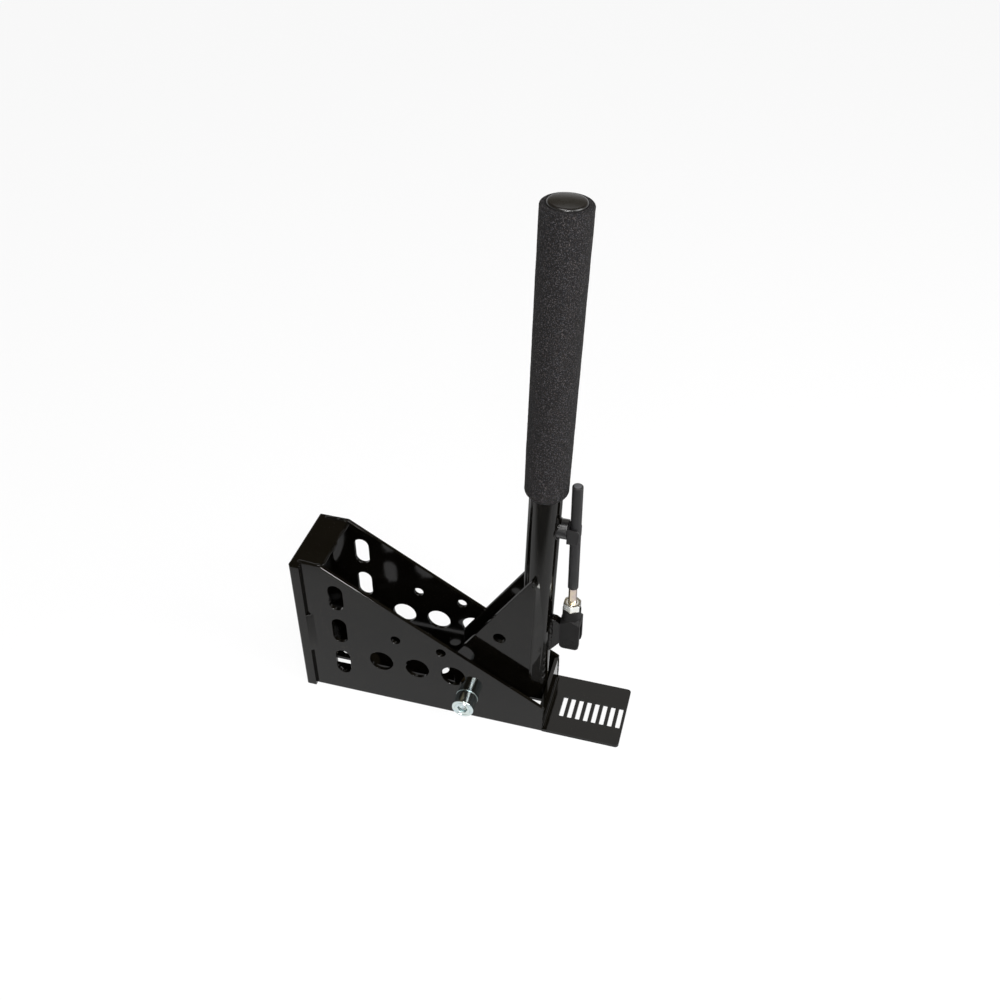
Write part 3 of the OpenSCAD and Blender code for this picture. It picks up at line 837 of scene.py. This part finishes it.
@dataclass
class Pivot:
    """The cross bolt with its nut, washer and spacers."""

    x: float = 8.5
    z: float = 24.5
    sides: int = 96
    head_out: float = -46.0
    head_turn: float = 30.0
    head_r: float = 9.3
    head_h: float = 14.45
    head_edge: float = 0.7
    # Turned groove in the head's face: distance in from its side, and depth
    groove: tuple = ((2.9, 0.0), (2.7, 0.25), (2.4, 0.25))
    groove_rim: float = 2.2
    neck_in: float = 0.4
    neck_h: float = 0.5
    bearing_h: float = 1.3
    bearing_out: float = 0.15
    bearing_edges: tuple = (0.15, 0.2)
    socket_r: float = 4.0
    socket_depth: float = 3.2
    socket_point: float = 0.9
    socket_edge: float = 0.25
    socket_mouth: tuple = (0.2, 0.35)
    bolt_d: float = 10.0
    bolt_pitch: float = 1.25
    bolt_end: float = 46.0
    thread_lap: float = 0.3
    nut_from: float = 33.5
    nut_r: float = 8.5
    nut_h: float = 10.0
    nut_chamfer: float = 0.99
    collar_h: float = 3.0
    collar_r: float = 7.6
    # Rings of the nut's collar: its foot above the hexagon, its crown below the top, and the bore's mouth
    collar_foot: tuple = ((0.3, 0.1), (0.0, 0.4))
    collar_crown: tuple = ((0.0, 0.9), (0.3, 0.25), (1.0, 0.0))
    bore_mouth: tuple = (0.9, 0.8)
    washer_edge: float = 0.3

    def axis(self, y: float) -> Matrix:
        """The bolt's frame, with Z along +Y from a place on its axis."""
        return Matrix.Translation(Vector((self.x, y, self.z)) * MM) @ Matrix.Rotation(-math.pi / 2, 4, "X")

    def build(self) -> None:
        """Makes the bolt, the nut and what lies under them."""
        self.bolt_head()
        self.bolt_thread()
        self.lock_nut()
        SHOP.softened("pivot_washer", ZINC, Body.BASE, self.washer_edge)
        SHOP.softened("pivot_spacers", ZINC, Body.BASE, self.washer_edge)

    def bolt_head(self) -> None:
        """Turns the tall round head with its hexagon socket and the collar that bears on the plate."""
        turned = Matrix.Rotation(math.radians(self.head_turn), 4, "Z")
        work = Turning(self.axis(self.head_out) @ turned, self.sides)
        deep, r, socket, step = self.socket_depth, self.head_r, self.socket_r, self.socket_edge
        mouth_out, mouth_deep = self.socket_mouth
        work.ring(CENTRE, deep + self.socket_point).ring(socket - step, deep, Section.HEXAGON)
        work.ring(socket, deep - step, Section.HEXAGON).ring(socket, mouth_deep, Section.HEXAGON)
        work.ring(socket / math.cos(math.pi / 6) + mouth_out, 0.0)
        work.outline((r - inward, depth) for inward, depth in self.groove)
        wide, neck, slim = r + self.bearing_out, self.head_h - self.bearing_h, r - self.neck_in
        profile = [(r - self.groove_rim, 0.0), (r, 0.0), (r, neck - self.neck_h), (slim, neck - self.neck_h),
                   (slim, neck), (wide, neck), (wide, self.head_h), (self.bolt_d / 2, self.head_h)]
        work.outline(eased(profile, (0, self.head_edge, 0, 0, 0, *self.bearing_edges, 0)))
        SHOP.piece("pivot_bolt_head", work.build(), FACED_SHADED, Body.BASE, ["pivot_bolt"], sharp=34.0)

    def bolt_thread(self) -> None:
        """Cuts the thread from the head to the bolt's end."""
        long = self.bolt_end - self.head_out
        thread = Thread(self.axis(self.head_out), self.bolt_d, self.bolt_pitch, self.head_h - self.thread_lap,
                        long)
        SHOP.piece("pivot_bolt_thread", thread.build(), BLUED, Body.BASE, ["pivot_bolt"], sharp=34.0)

    def lock_nut(self) -> None:
        """Turns the lock nut, its corners chamfered below its round collar."""
        work = Turning(self.axis(self.nut_from), self.sides)
        hex_h, bore, flat = self.nut_h - self.collar_h, self.bolt_d / 2 + FIT, self.nut_r * self.nut_chamfer
        work.ring(bore, 0.0).ring(flat, 0.0)
        work.ring(self.nut_r, 0.0, Section.HEXAGON, flat, -NUT_SLOPE)
        work.ring(self.nut_r, hex_h, Section.HEXAGON, flat, NUT_SLOPE)
        work.outline((self.collar_r + out, hex_h + up) for out, up in self.collar_foot)
        work.outline((self.collar_r - inward, self.nut_h - down) for inward, down in self.collar_crown)
        mouth_out, mouth_deep = self.bore_mouth
        work.ring(bore + mouth_out, self.nut_h).ring(bore, self.nut_h - mouth_deep)
        SHOP.piece("pivot_lock_nut", work.build(closed=True), ZINC, Body.BASE, ["pivot_nut"], sharp=32.0)


@dataclass
class Lever:
    """The tubular lever with its gussets, pivot boss and strut fittings."""

    axis_foot: tuple = (57.1094, 0.0, 0.0)
    lean: float = 1.65
    tube_r: float = 12.7
    tube_wall: float = 2.0
    tube_low: float = 20.0
    tube_top: float = 457.0
    tube_edge: float = 0.4
    tube_sides: int = 96
    tube_rings: int = 24
    gusset_face: float = 16.9
    seam_low: float = 21.0
    seam_high: float = 153.0
    seam_run: float = 7.2
    seam_rings: int = 160
    # Share of the seam over which it narrows to its tip, and its share of the run there
    seam_tip: float = 0.35
    seam_narrow: float = 0.3
    seam_start: float = 0.3
    seam_back: float = 0.6
    seam_drop: float = 0.4
    seam_proud: float = 0.1
    seam_swell: float = 0.1
    seam_wave: float = 0.08
    seam_steps: int = 5
    # Points of the seam that lie inside the tube: back from its foot, and below the tube's side
    seam_root: tuple = (1.0, 1.2)
    seam_sink: float = 0.5
    # Ends of the drop of weld at a gusset's tip: place along X, and distance below the tip
    tip_ends: tuple = ((-4.2, 1.4), (0.6, 1.8))
    tip_sink: float = 1.4
    lug_half: float = 3.6
    lug_low: float = 71.5
    lug_high: float = 104.5
    lug_weld_out: float = 0.3
    lug_cap_out: float = 1.0
    lug_cap_up: float = 1.2
    lug_cap_turn: float = 17.0
    clip_z: float = 202.0
    clip_boss_r: float = 7.9
    clip_weld_out: float = 0.2

    def axis(self) -> Matrix:
        """The tube's frame, with Z along it."""
        return along(self.axis_foot, self.lean)

    def on_tube(self, turn: float, reach: float, height: float) -> Vector:
        """A point beside the tube.

        Args:
            turn: Angle round the tube from +X towards +Y, in degrees.
            reach: Distance from its axis in millimetres.
            height: Height along its axis in millimetres.

        Returns:
            The point in metres.
        """
        a = math.radians(turn)
        return self.axis() @ (Vector((reach * math.cos(a), reach * math.sin(a), height)) * MM)

    def build(self) -> None:
        """Makes the tube, its gussets, bosses and welds."""
        self.tube()
        for node, finish, width in (
                ("gusset_near", GLOSS, 0.4), ("gusset_far", GLOSS, 0.4), ("pivot_boss", GLOSS, 0.3),
                ("strut_lug", GLOSS, 0.3), ("clip_boss", BOSS_PAINTED_LIGHT, 0.5), ("pivot_bushes", BRONZE, 0.25),
                ("strut_clip", CLIP, 0.3), ("clip_rivet", ZINC, 0.3), ("clevis_pin", SATIN, 0.4)):
            SHOP.softened(node, finish, Body.LEVER, width)
        for side in Side:
            self.gusset_seam(side)
            self.tip_weld(side)
            self.lug_weld(side)
        self.lug_cap()
        self.clip_weld()

    def tube(self) -> None:
        """Turns the tube with softened ends."""
        r, low, top, edge = self.tube_r, self.tube_low, self.tube_top, self.tube_edge
        bore = r - self.tube_wall
        work = Turning(self.axis(), self.tube_sides)
        work.outline(((bore, low + edge), (bore + edge, low), (r - edge, low), (r, low + edge)))
        work.outline((r, low + (top - low) * i / self.tube_rings) for i in range(1, self.tube_rings))
        work.outline(((r, top - edge), (r - edge, top), (bore + edge, top), (bore, top - edge)))
        SHOP.piece("lever_tube_drawn", work.build(closed=True), GLOSS, Body.LEVER, ["lever_tube"])

    def seam_section(self, side: Side, share: float) -> list:
        """The outline of a gusset's seam at a place along it.

        Args:
            side: The gusset's side.
            share: The place, from 0 at the seam's lower end to 1 at its tip.

        Returns:
            The outline's points in metres, in the frame.
        """
        z = self.seam_low + (self.seam_high - self.seam_low) * share
        fade = min(1.0, (1 - share) / self.seam_tip)
        run = self.seam_run * (self.seam_narrow + (1 - self.seam_narrow) * fade)
        start = Vector((self.seam_start, self.gusset_face - self.seam_drop))
        foot = Vector((run, math.sqrt(self.tube_r ** 2 - run ** 2) + self.seam_proud))
        swell = self.seam_swell * noise.noise(Vector((0, side.value, z * self.seam_wave)))
        section = [(-self.seam_back, start.y), start]
        for k in range(1, self.seam_steps):
            bow = swell * math.sin(math.pi * k / self.seam_steps)
            section.append(start.lerp(foot, k / self.seam_steps) + Vector((bow, bow)))
        section += [foot, foot - Vector(self.seam_root), (0.0, self.tube_r - self.seam_sink)]
        return [self.axis() @ (Vector((x, side.value * y, z)) * MM) for x, y in section]

    def gusset_seam(self, side: Side) -> None:
        """Runs the fillet weld from a gusset's edge onto the tube, narrower towards its tip.

        Args:
            side: The gusset's side.
        """
        bm = bmesh.new()
        loop: list = []
        edges: list = []
        for i in range(self.seam_rings + 1):
            verts = [bm.verts.new(point) for point in self.seam_section(side, i / self.seam_rings)]
            fresh = [bm.edges.new((verts[k - 1], verts[k])) for k in range(len(verts))]
            if loop:
                bmesh.ops.bridge_loops(bm, edges=edges + fresh)
            else:
                bmesh.ops.contextual_create(bm, geom=verts)
            loop, edges = verts, fresh
        bmesh.ops.contextual_create(bm, geom=loop)
        bmesh.ops.recalc_face_normals(bm, faces=bm.faces)
        SHOP.piece(f"gusset_seam_{side.label}", bm, GLOSS, Body.LEVER, sharp=60.0)

    def lug_weld(self, side: Side) -> None:
        """Lays the bead along one side of the strut's lug.

        Args:
            side: The lug's side.
        """
        turn = side.value * math.degrees(math.asin(self.lug_half / self.tube_r))
        reach = self.tube_r + self.lug_weld_out
        low, high = (self.on_tube(turn, reach, z) for z in (self.lug_low, self.lug_high))
        bead = Bead(straight(low, high), self.lug_high - self.lug_low, radius=1.6, ripple=0.15, pitch=3.2,
                    wander=0.4)
        SHOP.piece(f"lug_weld_{side.label}", bead.build(), GLOSS, Body.LEVER)

    def tip_weld(self, side: Side) -> None:
        """Sets the drop of weld at a gusset's tip.

        Args:
            side: The gusset's side.
        """
        y = side.value * (self.gusset_face - self.tip_sink)
        low, high = (self.axis() @ (Vector((x, y, self.seam_high - down)) * MM) for x, down in self.tip_ends)
        bead = Bead(straight(low, high), length=4.6, radius=2.1, ripple=0.0, pitch=4.0, wander=0.05, sides=16)
        SHOP.piece(f"gusset_tip_weld_{side.label}", bead.build(), GLOSS, Body.LEVER)

    def lug_cap(self) -> None:
        """Lays the lumpy bead across the top of the strut's lug."""
        reach, height = self.tube_r + self.lug_cap_out, self.lug_high + self.lug_cap_up
        low, high = (self.on_tube(turn, reach, height) for turn in (-self.lug_cap_turn, self.lug_cap_turn))
        bead = Bead(straight(low, high), length=8.0, radius=2.2, ripple=0.3, pitch=3.0, wander=0.5, sides=16)
        SHOP.piece("lug_cap_weld", bead.build(), GLOSS, Body.LEVER)

    def clip_line(self, share: float) -> Vector:
        """The line where the clip's boss leaves the tube.

        Args:
            share: The place round the boss, from 0 to 1.

        Returns:
            The point in metres.
        """
        a = 2 * math.pi * share
        y, z = self.clip_boss_r * math.cos(a), self.clip_boss_r * math.sin(a)
        x = math.sqrt(self.tube_r ** 2 - y * y) + self.clip_weld_out
        return self.axis() @ (Vector((x, y, self.clip_z + z)) * MM)

    def clip_weld(self) -> None:
        """Lays the bead round the clip's boss where it meets the tube."""
        bead = Bead(self.clip_line, 2 * math.pi * self.clip_boss_r, radius=0.9, ripple=0.1, pitch=2.6,
                    wander=0.2, closed=True)
        SHOP.piece("clip_boss_weld", bead.build(), GLOSS, Body.LEVER)


@dataclass
class Grip:
    """The foam grip and the plug in its end."""

    lever: Lever
    low_r: float = 16.8
    top_r: float = 17.5
    low: float = 232.5
    top: float = 460.0
    taper: float = 4.5
    shoulder: float = 3.0
    rim: float = 1.4
    lip: float = 0.3
    sides: int = 132
    skin_rings: int = 240
    skin_least: float = 100.0
    # Depth of the slow dents and of the cells in the foam's skin, and their waves in a metre
    dent: float = 0.16
    dent_wave: float = 60.0
    cell: float = 0.1
    cell_wave: float = 520.0
    noise_middle: float = 0.5
    inner_margin: float = 0.4
    plug_r: float = 13.2
    plug_h: float = 5.6
    plug_rise: float = 1.0
    plug_edge: float = 1.8
    plug_depth: float = 16.0
    plug_sides: int = 96
    plug_lift: float = 0.01
    dome_share: float = 0.82
    dome_rings: int = 12
    spigot_edge: float = 0.8

    def build(self) -> None:
        """Makes the foam and its plug."""
        self.foam()
        self.plug()

    def foam(self) -> None:
        """Turns the foam, then presses its skin in a little, unevenly."""
        bore, mouth, end = self.lever.tube_r + FIT, self.plug_r + FIT, self.lever.tube_top
        corners = [(bore, self.low), (bore + self.lip, self.low), (self.low_r, self.low + self.taper),
                   (self.top_r, self.top), (mouth, self.top), (mouth, end), (bore, end)]
        outline = eased(corners, (0, 0, self.shoulder, self.rim, self.lip, 0, 0))
        axis = self.lever.axis()
        work = Turning(axis, self.sides)
        for (r, z), (next_r, next_z) in zip(outline, outline[1:] + outline[:1]):
            steps = self.skin_rings if next_z - z > self.skin_least else 1
            for i in range(steps):
                work.ring(r + (next_r - r) * i / steps, z + (next_z - z) * i / steps)
        bm = work.build(closed=True)
        back = axis.inverted()
        for vert in bm.verts:
            spot = back @ vert.co
            out = Vector((spot.x, spot.y, 0.0))
            if out.length < (mouth + self.inner_margin) * MM:
                continue
            press = sum(depth * (self.noise_middle + noise.noise(spot * wave))
                        for depth, wave in ((self.dent, self.dent_wave), (self.cell, self.cell_wave)))
            vert.co = axis @ (spot - out.normalized() * max(0.0, press) * MM)
        obj = SHOP.piece("grip_foam_sleeve", bm, FOAM, Body.LEVER, ["foam_grip"], sharp=75.0)

    def plug(self) -> None:
        """Turns the shallow domed plug with its rounded edge and its spigot."""
        r, spigot = self.plug_r - FIT, self.lever.tube_r - self.lever.tube_wall - FIT
        swing = (r ** 2 + self.plug_rise ** 2) / (2 * self.plug_rise)
        end, low = self.lever.tube_top, self.lever.tube_top - self.plug_depth
        seat, edge, near = end + self.plug_lift, self.spigot_edge, r * self.dome_share
        middle = end + self.plug_h - swing
        work = Turning(self.lever.axis(), self.plug_sides)
        work.ring(CENTRE, low).ring(spigot - edge, low).ring(spigot, low + edge).ring(spigot, seat)
        corner = [(r, seat), (r, end + self.plug_h - self.plug_rise),
                  (near, middle + math.sqrt(swing ** 2 - near ** 2))]
        work.outline(eased(corner, (0, self.plug_edge, 0)))
        for i in range(1, self.dome_rings + 1):
            reach = near * (1 - i / self.dome_rings)
            work.ring(max(CENTRE, reach), middle + math.sqrt(swing ** 2 - reach ** 2))
        SHOP.piece("grip_plug_domed", work.build(), PLUG, Body.LEVER, ["grip_end_plug"])


@dataclass
class Strut:
    """The folding strut behind the tube."""

    pin: tuple = (88.5443, 0.0, 88.0)
    lean: float = -0.5
    fork_edge: float = 0.5
    fork_up: float = 33.0
    nut_r: float = 6.5
    nut_h: float = 7.0
    nut_sides: int = 96
    nut_chamfer: float = 0.985
    bore_edge: float = 0.5
    rod_d: float = 6.8
    rod_low: float = 16.4
    rod_in: float = 28.0
    rod_edge: float = 0.6
    rod_gap: float = 0.01
    rod_sides: int = 72
    sleeve_r: float = 4.2
    sleeve_low: float = 56.0
    sleeve_deep: float = 29.0
    sleeve_sides: int = 64
    sleeve_rings: int = 12
    sleeve_edge: float = 0.2
    sleeve_start: float = 0.3
    top: float = 157.0
    wall: float = 0.75
    cap_edge: float = 1.1
    cap_steps: int = 4
    disc_margin: float = 0.1
    disc_sink: float = 0.4
    disc_lap: float = 0.02
    disc_up: float = 0.03

    def axis(self) -> Matrix:
        """The rod's frame, with Z along it from the pin."""
        return along(self.pin, self.lean)

    def build(self) -> None:
        """Makes the fork, the nut, the rod and its sleeve."""
        SHOP.softened("clevis_fork", SATIN, Body.STRUT, self.fork_edge)
        self.lock_nut()
        self.rod()
        self.sleeve()
        self.lit_top_disc()

    def lock_nut(self) -> None:
        """Turns the lock nut, chamfered at both ends."""
        work = Turning(self.axis() @ Matrix.Translation((0, 0, self.fork_up * MM)), self.nut_sides)
        bore, flat, edge = self.rod_d / 2 + FIT, self.nut_r * self.nut_chamfer, self.bore_edge
        work.ring(bore, edge).ring(bore + edge, 0.0).ring(flat, 0.0)
        work.ring(self.nut_r, 0.0, Section.HEXAGON, flat, -NUT_SLOPE)
        work.ring(self.nut_r, self.nut_h, Section.HEXAGON, flat, NUT_SLOPE)
        work.ring(flat, self.nut_h).ring(bore + edge, self.nut_h).ring(bore, self.nut_h - edge)
        SHOP.piece("strut_nut_hex", work.build(closed=True), ZINC, Body.STRUT, ["strut_lock_nut"], sharp=32.0)

    def rod(self) -> None:
        """Turns the bright rod from the fork into the sleeve."""
        r, low, high = self.rod_d / 2 - self.rod_gap, self.rod_low, self.sleeve_low + self.rod_in
        edge = self.rod_edge
        work = Turning(self.axis(), self.rod_sides)
        work.ring(CENTRE, low).ring(r - edge, low).ring(r, low + edge)
        work.ring(r, high - edge).ring(r - edge, high).ring(CENTRE, high)
        SHOP.piece("strut_rod_ground", work.build(), POLISHED, Body.STRUT, ["strut_rod"], sharp=34.0)

    def sleeve(self) -> None:
        """Turns the sleeve, closed at its top."""
        work = Turning(self.axis(), self.sleeve_sides)
        r, low, lip, edge = self.sleeve_r, self.sleeve_low, self.sleeve_edge, self.cap_edge
        bore, deep = r - self.wall, low + self.sleeve_deep
        work.outline(((CENTRE, deep), (bore, deep), (bore, low + lip), (bore + lip, low), (r - lip, low)))
        start, stop, rings = low + self.sleeve_start, self.top - edge, self.sleeve_rings
        work.outline((r, start + (stop - start) * i / rings) for i in range(rings + 1))
        for step in range(1, self.cap_steps + 1):
            a = step / self.cap_steps * math.pi / 2
            work.ring(r - edge * (1 - math.cos(a)), stop + edge * math.sin(a))
        work.ring(CENTRE, self.top)
        SHOP.piece("strut_sleeve_moulded", work.build(), SLEEVE, Body.STRUT, ["strut_sleeve"])

    def lit_top_disc(self) -> None:
        """Turns the flat on the sleeve's top. Its pale colour is a painted highlight of the lit top face."""
        flat = self.sleeve_r - self.cap_edge - self.disc_margin
        foot, top = self.top - self.disc_sink, self.top + self.disc_up
        work = Turning(self.axis(), self.sleeve_sides)
        work.ring(CENTRE, foot).ring(flat, foot).ring(flat, self.top - self.disc_lap)
        work.ring(flat - self.disc_margin, top).ring(CENTRE, top)
        SHOP.piece("strut_sleeve_lit_top", work.build(), SLEEVE_TOP_LIT, Body.STRUT)


def reckon(tree: bpy.types.NodeTree, operation: str,
           *values: bpy.types.NodeSocket | float) -> bpy.types.NodeSocket:
    """Adds a math node.

    Args:
        tree: The node tree.
        operation: What the node does.
        values: Its inputs, as other nodes' outputs or plain numbers.

    Returns:
        The node's output.
    """
    node = tree.nodes.new("ShaderNodeMath")
    node.operation = operation
    for socket, value in zip(node.inputs, values):
        if isinstance(value, bpy.types.NodeSocket):
            tree.links.new(value, socket)
        else:
            socket.default_value = value
    return node.outputs[0]


@dataclass(frozen=True)
class Lamp:
    """A soft lamp with a flat face, in metres and watts."""

    name: str
    place: tuple
    size: tuple
    power: float

    def hang(self, aim: Vector) -> None:
        """Hangs the lamp.

        Args:
            aim: The point that it faces, in metres.
        """
        data = bpy.data.lights.new(self.name, "AREA")
        data.shape = "RECTANGLE"
        data.size, data.size_y = self.size
        data.energy = self.power
        obj = bpy.data.objects.new(self.name, data)
        obj.location = self.place
        obj.rotation_euler = (aim - Vector(self.place)).to_track_quat("-Z", "Y").to_euler()
        bpy.context.scene.collection.objects.link(obj)


LAMPS = (
    Lamp("key", (1.25, -0.2, 1.0), (0.9, 0.7), 19.0),
    Lamp("fill", (-1.1, -0.5, 0.9), (0.9, 0.9), 0.6),
    Lamp("overhead", (-0.17, 1.91, 2.3), (0.9, 0.6), 1.75),
    Lamp("top", (-0.08, -0.4, 1.21), (0.3, 0.25), 3.0),
    Lamp("spark", (0.345, -1.0, 0.83), (0.22, 0.16), 5.0),
    Lamp("flash", (0.36, -0.84, 1.0), (0.75, 0.1), 10.5),
)


@dataclass
class Studio:
    """The floor, the lights, the sky and the camera, in metres."""

    place: tuple = (0.19633, -0.6088, 0.73209)
    azimuth: float = 15.43
    elevation: float = 39.09
    roll: float = 0.1
    lens: float = 38.84
    sensor: float = 36.0
    clip: tuple = (0.01, 100.0)
    lamp_aim: tuple = (0.03, 0.0, 0.18)
    floor_half: float = 15.0
    floor_colour: float = 0.86
    floor_white: float = 0.9
    # The floor's level to mirrored rays, as pairs of place and level. The dim places before the part and
    # behind it are painted shade seen in reflections.
    # Places along X and Y count from half a metre before the frame's origin
    floor_middle: tuple = (0.5, 0.5, 0.0)
    front: tuple = ((0.275, 0.1), (0.345, 1.0))
    shade_patch_x: tuple = ((0.28, 0.0), (0.34, 1.0), (0.74, 1.0), (0.8, 0.0))
    shade_patch_y: tuple = ((0.53, 0.0), (0.6, 1.0), (0.82, 1.0), (0.9, 0.0))
    painted_shade_dim: float = 0.16
    # The mirrored sky's colours by height, and the level of the light that it gives
    sky_stops: tuple = ((0.14, (1.0, 1.0, 1.0)), (0.38, (0.14, 0.115, 0.075)))
    sky_light: float = 0.36

    def build(self) -> None:
        """Makes the whole studio."""
        self.camera()
        self.floor()
        self.sky()
        for lamp in LAMPS:
            lamp.hang(Vector(self.lamp_aim))

    def camera(self) -> None:
        """Stands the camera where the photograph was taken."""
        data = bpy.data.cameras.new("camera")
        data.sensor_width = self.sensor
        data.lens = self.lens
        data.clip_start, data.clip_end = self.clip
        obj = bpy.data.objects.new("camera", data)
        a, e = math.radians(self.azimuth), math.radians(self.elevation)
        back = Vector((math.sin(a) * math.cos(e), -math.cos(a) * math.cos(e), math.sin(e)))
        right = Vector((math.cos(a), math.sin(a), 0.0))
        turn = Matrix((right, back.cross(right), back)).transposed().to_4x4()
        spin = Matrix.Rotation(math.radians(self.roll), 4, "Z")
        obj.matrix_world = Matrix.Translation(self.place) @ turn @ spin
        bpy.context.scene.collection.objects.link(obj)
        bpy.context.scene.camera = obj

    @staticmethod
    def seen(tree: bpy.types.NodeTree, mirrored: bpy.types.NodeSocket | None = None) -> bpy.types.NodeSocket:
        """Adds a test for rays that show the background.

        Args:
            tree: The node tree.
            mirrored: Share of the background that mirrored rays show, or None for all of it.

        Returns:
            The test's output.
        """
        path = tree.nodes.new("ShaderNodeLightPath")
        glossy = path.outputs["Is Glossy Ray"]
        if mirrored is not None:
            glossy = reckon(tree, "MULTIPLY", glossy, mirrored)
        shown = reckon(tree, "MAXIMUM", path.outputs["Is Camera Ray"], glossy)
        return reckon(tree, "MAXIMUM", shown, path.outputs["Is Transmission Ray"])

    @staticmethod
    def band(tree: bpy.types.NodeTree, giver: bpy.types.NodeSocket,
             stops: Sequence[tuple]) -> bpy.types.NodeSocket:
        """Adds a ramp from a place on the floor to a level.

        Args:
            tree: The floor's node tree.
            giver: The place, from 0 to 1 over a metre.
            stops: Pairs of place and level.

        Returns:
            The level.
        """
        ramp = tree.nodes.new("ShaderNodeValToRGB")
        tree.links.new(giver, ramp.inputs["Fac"])
        fill_ramp(ramp, [(at, (level,) * 3) for at, level in stops])
        return ramp.outputs["Color"]

    def sheet(self, tree: bpy.types.NodeTree) -> bpy.types.NodeSocket:
        """Marks where the floor is dim to mirrored rays, as painted shade in reflections: before the part,
        and in a patch behind its tube.

        Args:
            tree: The floor's node tree.

        Returns:
            The floor's level, from dim to 1.
        """
        coords = tree.nodes.new("ShaderNodeTexCoord")
        shift = tree.nodes.new("ShaderNodeMapping")
        shift.inputs["Location"].default_value = self.floor_middle
        parts = tree.nodes.new("ShaderNodeSeparateXYZ")
        tree.links.new(coords.outputs["Object"], shift.inputs["Vector"])
        tree.links.new(shift.outputs["Vector"], parts.inputs[0])
        x, y = parts.outputs["X"], parts.outputs["Y"]
        patch = reckon(tree, "MULTIPLY", self.band(tree, x, self.shade_patch_x), self.band(tree, y, self.shade_patch_y))
        return reckon(tree, "MULTIPLY_ADD", patch, self.painted_shade_dim - 1.0, self.band(tree, y, self.front))

    @staticmethod
    def mix(tree: bpy.types.NodeTree, share: bpy.types.NodeSocket, first: bpy.types.Node,
            second: bpy.types.Node, kind: str) -> None:
        """Mixes two shaders into a tree's output.

        Args:
            tree: The node tree.
            share: The second shader's share.
            first: The first shader.
            second: The second shader.
            kind: The output node's type.
        """
        node = tree.nodes.new("ShaderNodeMixShader")
        for socket, giver in zip(node.inputs, (share, first.outputs[0], second.outputs[0])):
            tree.links.new(giver, socket)
        tree.links.new(node.outputs[0], tree.nodes.new(kind).inputs["Surface"])

    def floor(self) -> None:
        """Lays a plain pale floor that keeps a soft shadow, with painted shade in the places that mirrored
        rays see.
        """
        bm = bmesh.new()
        bmesh.ops.create_grid(bm, x_segments=1, y_segments=1, size=self.floor_half)
        mesh = bpy.data.meshes.new("floor")
        bm.to_mesh(mesh)
        bm.free()
        obj = bpy.data.objects.new("floor", mesh)
        bpy.context.scene.collection.objects.link(obj)
        material = bpy.data.materials.new("floor_white")
        material.use_nodes = True
        tree = material.node_tree
        tree.nodes.clear()
        matte = tree.nodes.new("ShaderNodeBsdfDiffuse")
        matte.inputs["Color"].default_value = (self.floor_colour,) * 3 + (1.0,)
        glow = tree.nodes.new("ShaderNodeEmission")
        # Mirrored rays see the floor's glow dimmed by painted shade before the part and behind its tube
        tree.links.new(self.seen(tree, self.sheet(tree)), glow.inputs["Strength"])
        share = reckon(tree, "MULTIPLY", self.seen(tree), self.floor_white)
        self.mix(tree, share, matte, glow, "ShaderNodeOutputMaterial")
        mesh.materials.append(material)
        obj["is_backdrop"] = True

    def sky(self) -> None:
        """Fills the room with soft light; the sky is white to the camera, and mirrored dim overhead."""
        world = bpy.data.worlds.new("room")
        bpy.context.scene.world = world
        world.use_nodes = True
        tree = world.node_tree
        tree.nodes.clear()
        coords = tree.nodes.new("ShaderNodeTexCoord")
        parts = tree.nodes.new("ShaderNodeSeparateXYZ")
        tree.links.new(coords.outputs["Generated"], parts.inputs[0])
        ramp = tree.nodes.new("ShaderNodeValToRGB")
        fill_ramp(ramp, self.sky_stops)
        tree.links.new(parts.outputs["Z"], ramp.inputs["Fac"])
        path = tree.nodes.new("ShaderNodeLightPath")
        plain = tree.nodes.new("ShaderNodeMixRGB")
        plain.inputs["Color2"].default_value = WHITE
        tree.links.new(path.outputs["Is Camera Ray"], plain.inputs["Fac"])
        tree.links.new(ramp.outputs["Color"], plain.inputs["Color1"])
        shown = tree.nodes.new("ShaderNodeBackground")
        tree.links.new(plain.outputs["Color"], shown.inputs["Color"])
        soft = tree.nodes.new("ShaderNodeBackground")
        soft.inputs["Color"].default_value = (self.sky_light,) * 3 + (1.0,)
        self.mix(tree, self.seen(tree), soft, shown, "ShaderNodeOutputWorld")


def corners(box: tuple) -> list:
    """A box's lowest and highest corner as plain lists."""
    return [list(map(float, corner)) for corner in box]


def main() -> None:
    """Builds the studio and every sub-assembly."""
    logging.basicConfig(level=logging.INFO, format="%(message)s")
    solid = corners(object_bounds())
    bpy.context.scene.view_settings.view_transform = "Standard"
    Studio().build()
    Base().build()
    Pivot().build()
    lever = Lever()
    lever.build()
    Grip(lever).build()
    Strut().build()
    {"cad": solid, "visual": corners(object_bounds())}


if __name__ == "__main__":
    main()
